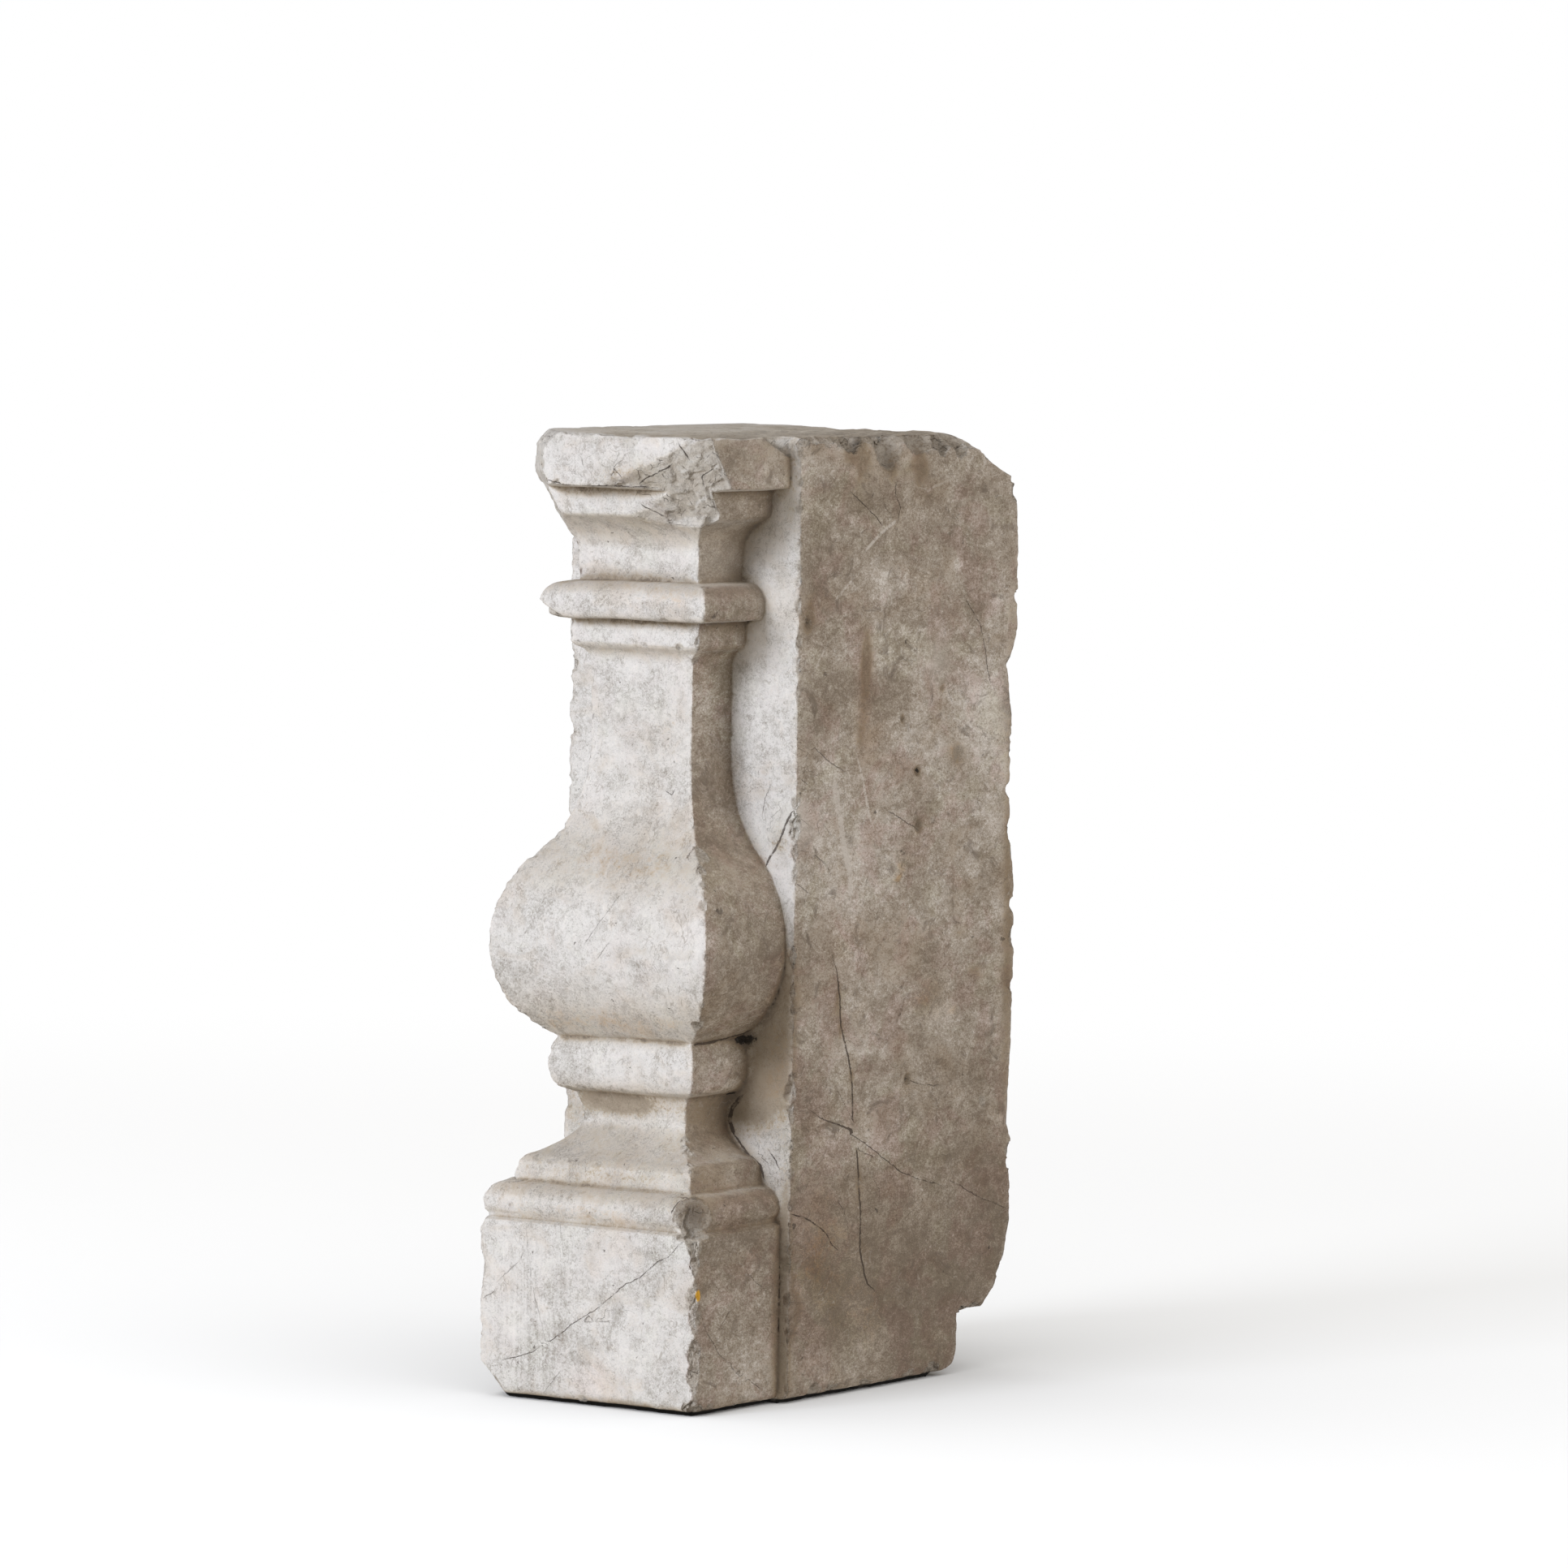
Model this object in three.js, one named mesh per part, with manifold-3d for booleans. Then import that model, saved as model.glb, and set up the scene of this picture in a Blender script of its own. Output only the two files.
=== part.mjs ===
// Stone pilaster: half of a square baluster, carved from the same limestone as the wall block behind it.
// Millimetres, +Z up. The baluster faces -Y and the block runs back along +Y.
// The origin is the middle of the box around the piece, at the underside.

import * as THREE from 'three';
import { mergeVertices } from 'three/addons/utils/BufferGeometryUtils.js';
import Module from 'manifold-3d';

// Driving dimensions of the block, from the baluster's centre line and the block's front face
const HEIGHT = 702;
const BLOCK_LEFT = 99.5;
const BLOCK_RIGHT = 104;
const BLOCK_BACK = 291;
const TOP_BED_BACK = 217;
const TOP_BREAK_LEVEL = 642;
const LOWER_ROUND_LEVEL = 130;
const LOWER_ROUND_DEPTH = 38;
const FOOT_BACK = 221.5;
const FOOT_HEIGHT = 46;
const FOOT_WEAR = 20;

// Half widths of the baluster's members
const PLINTH = 95.3;
const QUIRK = 91.3;
const TORUS = 95.3;
const STEP = 78.8;
const LOWER_NECK = 45.6;
const LOWER_RING = 64.8;
const BULB_SEAT = 59.5;
const BULB = 96.5;
const BULB_SHOULDER = 70.5;
const NECK = 45;
const COLLAR = 57;
const UPPER_RING = 73.8;
const UPPER_NECK = 53;
const FASCIA = 78.5;
const ABACUS = 94.3;

// Levels of the members' joints, from the underside up
const PLINTH_TOP = 132.5;
const TORUS_FOOT = 135.5;
const STEP_FOOT = 157.5;
const STEP_TOP = 176;
const LOWER_NECK_LEVEL = 201;
const LOWER_RING_FOOT = 225.5;
const LOWER_RING_TOP = 260.5;
const BULB_FOOT = 263.5;
const BULB_LEVEL = 330;
const BULB_SHOULDER_LEVEL = 398;
const NECK_FOOT = 478;
const NECK_TOP = 531;
const COLLAR_FOOT = 547;
const UPPER_RING_FOOT = 567;
const UPPER_RING_TOP = 594.5;
const UPPER_NECK_TOP = 619;
const FASCIA_FOOT = 643;
const ABACUS_FOOT = 663.5;

// How much further each level reaches forward than its half width, as [level, extra reach]
const EXTRA_REACH = [
  [0, 8.9],
  [TORUS_FOOT, 12.2],
  [STEP_TOP, 10],
  [LOWER_NECK_LEVEL, 4.2],
  [BULB_LEVEL, 3.8],
  [NECK_TOP, 3.4],
  [UPPER_RING_FOOT, 1],
  [UPPER_NECK_TOP, 1.5],
  [FASCIA_FOOT, 5.5],
  [HEIGHT, 7.7],
];

// Steps along one curve of the profile, and how deep the baluster's solid runs into the block
const CURVE_STEPS = 8;
const BULB_STEPS = 14;
const ROOT_DEPTH = 20;

// Breaks: a point on each break's plane, the plane's outward direction, and the zone that it's kept to
const CORNER_FRACTURE = {
  at: [11.6, -102, 669.5],
  out: [0.236, -0.801, -0.549],
  zone: { low: 636, left: -10 },
};
const RING_END = {
  at: [-62, -74.5, 572],
  out: [-0.45, -0.25, -0.85],
  zone: { low: UPPER_RING_FOOT, high: 582, right: -46 },
};

// The front left corner's breaks face one way seen from above. Each leans by its own tilt, and lies
// a number of millimetres out from the centre line at its level.
const LEFT_BREAK = [-0.75, -0.66];
const ABACUS_END = { along: 106.5, level: 680, tilt: 0, zone: { low: 655, right: -30 } };
const ABACUS_CORNER = { along: 97, level: 700, tilt: 0.95, zone: { low: 680, right: -25 } };
const FASCIA_END = { along: 100.6, level: 661, tilt: -0.51, zone: { low: 620, high: 674, right: -30 } };
const PLINTH_CORNER = { along: 124, level: 0, tilt: -0.75, zone: { high: 30, right: -50 } };

const wasm = await Module();
wasm.setup();

// A member of the profile is a curve from the last point to its end; its points are [half width, level].
function line(halfWidth, level) {
  return { steps: 1, curve: (from) => new THREE.LineCurve(from, new THREE.Vector2(halfWidth, level)) };
}

// A curve that leaves the last point by one handle and arrives by another, each given from its own end.
function sweep(leave, arrive, halfWidth, level, steps = CURVE_STEPS) {
  const end = new THREE.Vector2(halfWidth, level);
  const arriveAt = new THREE.Vector2(...arrive).add(end);
  const leaveBy = new THREE.Vector2(...leave);
  return { steps, curve: (from) => new THREE.CubicBezierCurve(from, leaveBy.add(from), arriveAt, end) };
}

// The members from the plinth's foot to the top bed
function profileMembers() {
  return [
    line(PLINTH, PLINTH_TOP - 3),
    line(QUIRK, PLINTH_TOP),
    line(QUIRK, TORUS_FOOT),
    sweep([TORUS - QUIRK + 1.5, 4], [TORUS - STEP - 2, -2], STEP + 2, STEP_FOOT),
    line(STEP, STEP_FOOT + 1),
    line(STEP - 2.5, STEP_TOP - 4),
    line(STEP - 6, STEP_TOP),
    line(STEP - 11, STEP_TOP + 2),
    sweep([-13, 7], [0, -7], LOWER_NECK, LOWER_NECK_LEVEL),
    sweep([0, 8], [-3.5, -4], LOWER_NECK + 5.5, LOWER_RING_FOOT - 3),
    line(LOWER_RING - 6, LOWER_RING_FOOT),
    sweep([7, 6.5], [4.5, -8.5], LOWER_RING - 3.5, LOWER_RING_TOP),
    line(BULB_SEAT, BULB_FOOT),
    sweep([23, 15.5], [0, -30], BULB, BULB_LEVEL, BULB_STEPS),
    sweep([0, 28], [17, -18], BULB_SHOULDER, BULB_SHOULDER_LEVEL, BULB_STEPS),
    sweep([-12.5, 15], [0, -46], NECK, NECK_FOOT, BULB_STEPS),
    line(NECK, NECK_TOP),
    sweep([0, 9], [-5, -2], COLLAR - 3, COLLAR_FOOT - 1),
    line(COLLAR, COLLAR_FOOT + 2),
    line(COLLAR, UPPER_RING_FOOT),
    line(UPPER_RING - 4, UPPER_RING_FOOT + 0.5),
    sweep([5, 0.5], [15.5, -2.5], UPPER_RING - 12, UPPER_RING_TOP),
    line(UPPER_NECK - 0.5, UPPER_RING_TOP + 0.5),
    line(UPPER_NECK + 1, UPPER_NECK_TOP),
    sweep([2, 9], [-15.5, -7], FASCIA - 2, FASCIA_FOOT - 1.5),
    line(FASCIA - 0.5, FASCIA_FOOT),
    line(FASCIA, ABACUS_FOOT - 2),
    line(ABACUS, ABACUS_FOOT),
    line(ABACUS, HEIGHT),
  ];
}

// Every member's points in turn, from the foot to the top bed
function profilePoints() {
  const points = [new THREE.Vector2(PLINTH, 0)];
  for (const member of profileMembers()) {
    const last = points[points.length - 1];
    points.push(...member.curve(last).getPoints(member.steps).slice(1));
  }
  return points;
}

// The extra reach at a level, straight between the two levels around it
function extraReach(level) {
  const next = Math.max(1, EXTRA_REACH.findIndex(([z]) => z >= level));
  const [lowLevel, lowExtra] = EXTRA_REACH[next - 1];
  const [highLevel, highExtra] = EXTRA_REACH[next];
  return THREE.MathUtils.mapLinear(level, lowLevel, highLevel, lowExtra, highExtra);
}

// A closed geometry as a solid that can be joined and cut
function solid(geometry) {
  geometry.deleteAttribute('normal');
  geometry.deleteAttribute('uv');
  const merged = mergeVertices(geometry, 1e-4);
  const mesh = new wasm.Mesh({
    numProp: 3,
    vertProperties: new Float32Array(merged.attributes.position.array),
    triVerts: new Uint32Array(merged.index.array),
  });
  return new wasm.Manifold(mesh);
}

function carried(points, depth) {
  return new THREE.ExtrudeGeometry(new THREE.Shape(points), { depth, bevelEnabled: false });
}

// An outline of [x, z] points carried along +Y, from y0 to y1
function alongY(points, y0, y1) {
  const geometry = carried(points, y1 - y0);
  geometry.rotateX(Math.PI / 2);
  geometry.translate(0, y1, 0);
  return solid(geometry);
}

// An outline of [y, z] points carried along +X, from x0 to x1
function alongX(points, x0, x1) {
  const geometry = carried(points, x1 - x0);
  const turn = new THREE.Matrix4().makeBasis(
    new THREE.Vector3(0, 1, 0),
    new THREE.Vector3(0, 0, 1),
    new THREE.Vector3(1, 0, 0),
  );
  geometry.applyMatrix4(turn);
  geometry.translate(x0, 0, 0);
  return solid(geometry);
}

// The baluster is what its front outline and its side outline share, so its corners are mitred.
function baluster() {
  const profile = profilePoints();
  const right = profile.map((p) => new THREE.Vector2(p.x, p.y));
  const left = profile.map((p) => new THREE.Vector2(-p.x, p.y)).reverse();
  const face = profile.map((p) => new THREE.Vector2(-(p.x + extraReach(p.y)), p.y)).reverse();
  const root = [new THREE.Vector2(ROOT_DEPTH, 0), new THREE.Vector2(ROOT_DEPTH, HEIGHT)];
  const reach = 2 * ABACUS;
  const front = alongY([...right, ...left], -reach, ROOT_DEPTH);
  const side = alongX([...root, ...face], -reach, reach);
  return front.intersect(side);
}

// The block's side outline: a broken upper back edge, a rounded lower back edge and a narrower foot
function block() {
  const outline = new THREE.Shape();
  outline.moveTo(0, 0);
  outline.lineTo(FOOT_BACK - FOOT_WEAR, 0);
  outline.lineTo(FOOT_BACK - FOOT_WEAR / 4, FOOT_WEAR / 2);
  outline.lineTo(FOOT_BACK, FOOT_WEAR);
  outline.lineTo(FOOT_BACK, FOOT_HEIGHT);
  outline.lineTo(BLOCK_BACK - LOWER_ROUND_DEPTH, FOOT_HEIGHT);
  outline.quadraticCurveTo(BLOCK_BACK - 6, FOOT_HEIGHT + 14, BLOCK_BACK, LOWER_ROUND_LEVEL);
  outline.lineTo(BLOCK_BACK, TOP_BREAK_LEVEL);
  outline.quadraticCurveTo(BLOCK_BACK - 6, TOP_BREAK_LEVEL + 25, BLOCK_BACK - 23, TOP_BREAK_LEVEL + 29);
  outline.lineTo(BLOCK_BACK - 41, TOP_BREAK_LEVEL + 37);
  outline.lineTo(TOP_BED_BACK, HEIGHT);
  outline.lineTo(0, HEIGHT);
  return alongX(outline.getPoints(6), -BLOCK_LEFT, BLOCK_RIGHT);
}

// The stone beyond a plane, between two levels and two X places
function beyond({ at, out, zone }) {
  const { low = -1, high = HEIGHT + 1, left = -200, right = 200 } = zone;
  const size = 400;
  const box = new THREE.BoxGeometry(size, size, size);
  box.translate(0, 0, size / 2);
  const direction = new THREE.Vector3(...out).normalize();
  box.applyQuaternion(new THREE.Quaternion().setFromUnitVectors(new THREE.Vector3(0, 0, 1), direction));
  box.translate(...at);
  const slab = new THREE.BoxGeometry(right - left, size, high - low);
  slab.translate((left + right) / 2, -size / 2, (low + high) / 2);
  return solid(box).intersect(solid(slab));
}

function leftCorner({ along, level, tilt, zone }) {
  const [x, y] = LEFT_BREAK;
  return beyond({ at: [along * x, along * y, level], out: [x, y, tilt], zone });
}

// What the real piece has lost, as solids to take away
function breaks() {
  const planes = [CORNER_FRACTURE, RING_END];
  const corners = [ABACUS_END, ABACUS_CORNER, FASCIA_END, PLINTH_CORNER];
  return [...planes.map(beyond), ...corners.map(leftCorner)];
}

function carvedStone() {
  const whole = baluster().add(block());
  return breaks().reduce((stone, tool) => stone.subtract(tool), whole);
}

function toGeometry(manifold) {
  const mesh = manifold.getMesh();
  const geometry = new THREE.BufferGeometry();
  geometry.setAttribute('position', new THREE.BufferAttribute(new Float32Array(mesh.vertProperties), 3));
  geometry.setIndex(new THREE.BufferAttribute(new Uint32Array(mesh.triVerts), 1));
  return geometry;
}

const limestone = new THREE.MeshStandardMaterial({ color: 0xcfc7bd, roughness: 0.92, metalness: 0 });

const stone = new THREE.Mesh(toGeometry(carvedStone()), limestone);
stone.name = 'stone_pilaster';

const box = new THREE.Box3().setFromObject(stone);
stone.position.set(-(box.min.x + box.max.x) / 2, -(box.min.y + box.max.y) / 2, -box.min.z);

const pilaster = new THREE.Group();
pilaster.add(stone);

export default pilaster;
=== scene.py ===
"""A weathered limestone pilaster: half of a square baluster carved in one with its wall block.

The stone is one closed surface on a grid, worked out with numpy. Its rows climb from the underside to
the top bed and its columns run round the plan. Shapes are in millimetres from the baluster's centre
line (x), the block's front face (y) and the underside (z), and become metres in the frame's place
when the mesh is made.
"""

import math

import bpy
import numpy as np
from bpy.props import FloatProperty, FloatVectorProperty, IntProperty, PointerProperty
from mathutils import Matrix, Vector


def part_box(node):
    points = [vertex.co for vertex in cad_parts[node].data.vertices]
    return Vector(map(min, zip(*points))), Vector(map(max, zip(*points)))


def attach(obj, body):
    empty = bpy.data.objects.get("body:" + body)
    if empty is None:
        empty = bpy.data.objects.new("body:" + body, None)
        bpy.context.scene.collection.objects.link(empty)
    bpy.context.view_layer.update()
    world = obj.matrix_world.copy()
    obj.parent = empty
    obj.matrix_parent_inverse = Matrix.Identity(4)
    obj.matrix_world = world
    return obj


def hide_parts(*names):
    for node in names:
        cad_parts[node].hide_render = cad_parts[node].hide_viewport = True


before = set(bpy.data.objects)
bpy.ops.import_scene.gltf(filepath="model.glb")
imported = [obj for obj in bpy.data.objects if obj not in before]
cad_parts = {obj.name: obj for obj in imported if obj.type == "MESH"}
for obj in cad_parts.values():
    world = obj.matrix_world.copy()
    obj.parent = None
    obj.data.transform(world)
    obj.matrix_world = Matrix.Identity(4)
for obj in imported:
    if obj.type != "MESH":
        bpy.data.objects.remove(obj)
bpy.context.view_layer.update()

bl_info = {
    "name": "Stone pilaster",
    "version": (1, 0, 0),
    "blender": (4, 5, 0),
    "location": "View3D > Sidebar > Pilaster",
    "description": "Makes a weathered limestone half baluster with its wall block, and a studio for it",
    "category": "Add Mesh",
}

node_low, node_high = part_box("stone_pilaster")
MM = 0.001

# The block, in mm from the baluster's centre line and the block's front face
BLOCK_LEFT = 99.5
BLOCK_RIGHT = 104.0
BLOCK_DEPTH = 291.0
HEIGHT = (node_high.z - node_low.z) / MM
AXIS_X = node_low.x / MM + BLOCK_LEFT
FRONT_Y = node_high.y / MM - BLOCK_DEPTH

# The back's outline as worn and broken, each point a depth and a level
BACK = (
    (203, 0), (216, 8), (220.5, 18), (221, 45.5), (253, 47), (270, 60), (284.5, 84), (289.5, 110),
    (290.3, 172), (285, 183), (289, 240), (290.4, 337), (280, 447), (283, 489), (274, 527),
    (280, 533), (286.5, 549), (288.5, 557), (286, 651), (283, 662), (276, 668), (262, 673),
    (249, 679), (236, 688), (221, 700.4), (216, HEIGHT),
)

# How much further each level of the baluster reaches forward than its half width
EXTRA_REACH = (
    (0, 8.9), (135.5, 12.2), (176, 10), (201, 4.2), (330, 3.8), (531, 3.4), (567, 1), (619, 1.5),
    (643, 5.5), (HEIGHT, 7.7),
)

# How far the foot stands in from the faces at each level, so that it lifts clear of the floor
FOOT_INSET = ((0, 9), (2.8, 8.2), (3.7, 2.8), (5.0, 1.1), (8.5, 0), (HEIGHT, 0))

# Columns of the grid on each side of the plan, counter-clockwise from the back left corner
SIDES = (
    ("left face", 84), ("left strip", 8), ("left flank", 44), ("front", 168),
    ("right flank", 84), ("right strip", 36), ("right face", 196), ("back", 64),
)
ROW_STEP = 1.15
CAP_RINGS = 56

# The baluster's members from the plinth up, as the names of their half widths
MEMBERS = (
    "plinth", "torus", "step", "lower_neck", "lower_ring", "bulb", "neck", "collar", "upper_ring",
    "upper_neck", "fascia", "abacus",
)

# How far from its line a crack or scratch still has a strength, and the furthest distance kept, in mm
LINE_REACH = 22
LINE_LIMIT = 50.0

# Colours that are mixed into the stone by multiplying
PLUM = (0.93, 0.85, 0.86)
MOSS = (0.97, 0.985, 0.93)
# Painted warm shade for the undersides
WARM_UNDERSIDE_SHADE = (0.95, 0.88, 0.77)
RUSTED = (0.78, 0.63, 0.46)
ROSY = (1, 0.86, 0.82)

# Colours that are laid over the stone
PEPPER = (0.31, 0.265, 0.205)
BLOT = (0.16, 0.13, 0.105)
STROKE = (0.19, 0.155, 0.115)
GRAZE = (0.74, 0.71, 0.68)
DOT = (0.09, 0.075, 0.062)
FLECK = (0.68, 0.65, 0.60)
RUBBED_EDGE = (0.74, 0.70, 0.66)
FRESH_BREAK = (0.74, 0.70, 0.64)
CREVICE = (0.12, 0.095, 0.07)
BLEACHED_AND_LIT = (0.66, 0.65, 0.61)
SCRATCHED = (0.66, 0.63, 0.6)
CRACKED = (0.07, 0.055, 0.045)
YELLOW_PAINT = (0.75, 0.42, 0.05)
# Painted shadow for the gap under the foot
PAINTED_FOOT_SHADOW = (0.004, 0.004, 0.004)


def metres(name, text, default):
    return FloatProperty(name=name, description=text, default=default, unit="LENGTH")


def watts(name, text, default):
    return FloatProperty(name=name, description=text, default=default, unit="POWER")


def zero_to_one(name, text, default):
    return FloatProperty(name=name, description=text, default=default, min=0, max=1)


def not_negative(name, text, default):
    return FloatProperty(name=name, description=text, default=default, min=0)


def whole_number(name, text, default):
    return IntProperty(name=name, description=text, default=default, min=0)


def hue(name, text, default):
    return FloatVectorProperty(name=name, description=text, default=default, size=3, subtype="COLOR")


class PilasterSizes(bpy.types.PropertyGroup):
    """Half widths of the baluster's members, and how far the stone has worn."""

    plinth: metres("Plinth", "Half width of the plinth", 0.0953)
    torus: metres("Torus", "Half width of the base moulding", 0.0953)
    step: metres("Step", "Half width of the step", 0.0788)
    lower_neck: metres("Lower neck", "Half width under the lower ring", 0.0456)
    lower_ring: metres("Lower ring", "Half width of the ring under the bulb", 0.0648)
    bulb: metres("Bulb", "Half width of the bulb", 0.0965)
    neck: metres("Neck", "Half width of the tall neck", 0.045)
    collar: metres("Collar", "Half width of the collar", 0.057)
    upper_ring: metres("Upper ring", "Half width of the ring over the collar", 0.0738)
    upper_neck: metres("Upper neck", "Half width under the capital", 0.053)
    fascia: metres("Fascia", "Half width under the abacus", 0.0785)
    abacus: metres("Abacus", "Half width of the abacus", 0.0943)
    wear: zero_to_one("Wear", "How far the arrises have rounded", 0.4)
    wear_rounds: whole_number("Wear rounds", "Times that the wear is repeated", 3)
    grain: metres("Grain", "Depth of the dressed faces' unevenness", 0.00028)
    hewing: metres("Hewing", "Depth of the rough faces' tool marks", 0.0024)
    triangles: whole_number("Triangles", "Triangles in the finished stone", 186000)
    seed: whole_number("Seed", "Start of the random numbers", 7)


class StoneFinish(bpy.types.PropertyGroup):
    """Colours of the limestone and of what has settled on it."""

    pale: hue("Pale stone", "Clean limestone", (0.66, 0.65, 0.64))
    chalk: hue("Chalk", "The palest flecks", (0.78, 0.76, 0.74))
    grey: hue("Grey bloom", "Thin weathering", (0.50, 0.485, 0.465))
    warm: hue("Warm bloom", "Beige patches", (0.95, 0.86, 0.76))
    # Brown and buff colour the faces that look right: a browner patina, darker as painted shade
    brown: hue("Brown", "Darker patina of the right side", (0.265, 0.223, 0.18))
    buff: hue("Buff", "Paler patina of the right side", (0.425, 0.378, 0.325))
    # Tint and soil also colour the painted shade in hollows and spots
    tint: hue("Tint", "Thin dirt over the stone", (0.90, 0.80, 0.65))
    soil: hue("Soil", "Dirt in hollows and stains", (0.2, 0.165, 0.13))
    crust: hue("Crust", "Black crust in the deepest hollows", (0.035, 0.03, 0.026))


class StudioSettings(bpy.types.PropertyGroup):
    """The floor and the lights."""

    floor: hue("Floor", "Colour of the floor", (0.5, 0.505, 0.51))
    key: watts("Key light", "Power of the soft light in front", 128)
    side: watts("Side light", "Power of the light on the right", 59)
    fill: watts("Fill light", "Power of the low light in front", 16)
    ambient: not_negative("Ambient", "Strength of the light from all round", 0.36)
    overhead: not_negative("Overhead", "Strength of the floor's own light", 4.7)


def half_width(level, profile):
    """The baluster's half width at each level, from its profile, in mm."""
    return np.interp(level, profile[:, 1], profile[:, 0])


def extra_reach(level):
    """How much further than its half width the baluster reaches forward at each level, in mm."""
    return np.interp(level, *zip(*EXTRA_REACH))


def foot_inset(level):
    """How far the foot stands in from the faces at each level, in mm."""
    return np.interp(level, *zip(*FOOT_INSET))


def back_depth(level):
    """How far the block reaches back at each level, in mm."""
    return np.interp(level, *np.array(BACK, float).T[::-1])


def baluster_profile(sizes):
    """Half widths and levels up the baluster, in mm.

    A member is a straight line or a cubic curve from the last point to its end. A curve's two handles
    are given from its own ends: B(t) = (1-t)^3 a + 3(1-t)^2 t b + 3(1-t) t^2 c + t^3 d.
    """
    widths = [getattr(sizes, name) / MM for name in MEMBERS]
    plinth, torus, step, lower_neck, lower_ring, bulb = widths[:6]
    neck, collar, upper_ring, upper_neck, fascia, abacus = widths[6:]
    quirk, bulb_seat, shoulder = plinth - 4, bulb - 37, bulb - 26
    members = (
        ((plinth, 130),),
        ((quirk, 132),),
        ((quirk, 135),),
        ((step + 2, 157.5), (torus - quirk + 1.5, 4), (torus - step - 2, -2)),
        ((step, 158.8),),
        ((step - 2.5, 172),),
        ((step - 6, 176),),
        ((step - 11, 178),),
        ((lower_neck, 201), (-13, 7), (0, -7)),
        ((lower_neck + 5.5, 222.5), (0, 8), (-3.5, -4)),
        ((lower_ring - 6, 225.5),),
        ((lower_ring - 3.5, 260), (7, 6.5), (4.5, -8.5)),
        ((bulb_seat, 263.5),),
        ((bulb, 330), (23, 15.5), (0, -30)),
        ((shoulder, 398), (0, 28), (17, -18)),
        ((neck, 478), (-12.5, 15), (0, -46)),
        ((neck, 531),),
        ((collar - 3, 546), (0, 9), (-5, -2)),
        ((collar, 549),),
        ((collar, 566.4),),
        ((upper_ring - 4, 567.6),),
        ((upper_ring - 12, 594), (5, 0.5), (15.5, -2.5)),
        ((upper_neck - 0.5, 595.2),),
        ((upper_neck + 1, 619),),
        ((fascia - 2, 641.5), (2, 9), (-15.5, -7)),
        ((fascia - 0.5, 643),),
        ((fascia, 661.5),),
        ((abacus, 663.6),),
        ((abacus, HEIGHT),),
    )
    pieces = [np.array([[plinth, 0.0]])]
    for end, *handles in members:
        start, end = pieces[-1][-1], np.array(end, float)
        if handles:
            t = np.linspace(0, 1, 33)[1:, None]
            leave, arrive = start + handles[0], end + handles[1]
            u = 1 - t
            pieces.append(u**3 * start + 3 * u**2 * t * leave + 3 * u * t**2 * arrive + t**3 * end)
        else:
            pieces.append(end[None])
    return np.concatenate(pieces)


def row_levels(profile):
    """Levels of the grid's rows, evenly spaced along the outlines: a stride is the root of the summed
    squares of its rise, the changes of half width and inset, and 0.6 of the change of depth."""
    levels = np.unique(np.concatenate((profile[:, 1], [z for _, z in BACK], [z for z, _ in FOOT_INSET])))
    width, depth, inset = half_width(levels, profile), back_depth(levels), foot_inset(levels)
    stride = np.sqrt(
        np.diff(levels) ** 2 + np.diff(width) ** 2 + (0.6 * np.diff(depth)) ** 2 + np.diff(inset) ** 2
    )
    run = np.concatenate(([0], np.cumsum(stride)))
    return np.interp(np.linspace(0, run[-1], int(run[-1] / ROW_STEP)), run, levels)


def plan_corners(level, profile):
    """The plan's eight corners at each level, from the back left one counter-clockwise, as rows x 8 x 2."""
    inset = foot_inset(level)
    width = half_width(level, profile) - inset
    reach = width + extra_reach(level)
    depth = back_depth(level) - inset
    none = np.zeros_like(level)
    left, right = inset - BLOCK_LEFT, BLOCK_RIGHT - inset
    xs = (left, left, -width, -width, width, width, right, right)
    ys = (depth, none, none, -reach, -reach, none, none, depth)
    return np.stack([np.stack(xs, 1), np.stack(ys, 1)], 2)


def plain_stone(sizes):
    """The unworn stone as a grid of points: rows x columns x 3.

    Each side of the plan runs straight from corner to corner, its columns closer together near its
    ends: t = s - 0.09 sin(2 pi s). The beds are the end outlines shrunk to a point in rings.
    """
    profile = baluster_profile(sizes)
    level = row_levels(profile)
    corners = plan_corners(level, profile)
    runs = []
    for side, (_, count) in enumerate(SIDES):
        s = np.arange(count) / count
        t = (s - 0.09 * np.sin(2 * math.pi * s))[None, :, None]
        runs.append((1 - t) * corners[:, side, None] + t * corners[:, (side + 1) % 8, None])
    plan = np.concatenate(runs, 1)
    walls = np.concatenate((plan, np.broadcast_to(level[:, None, None], plan.shape[:2] + (1,))), 2)
    share = (np.linspace(0.004, 1, CAP_RINGS)[:-1] ** 0.8)[:, None, None]
    foot_middle, top_middle = np.array([0.0, 60.0, 0.0]), np.array([0.0, 60.0, HEIGHT])
    foot = foot_middle + (walls[0] - foot_middle) * share
    top = top_middle + (walls[-1] - top_middle) * share[::-1]
    return np.concatenate((foot, walls, top))


def smooth_step(value, low, high):
    """0 below low, 1 above high, and 3t^2 - 2t^3 between."""
    t = np.clip((value - low) / (high - low), 0, 1)
    return t * t * (3 - 2 * t)


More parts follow.
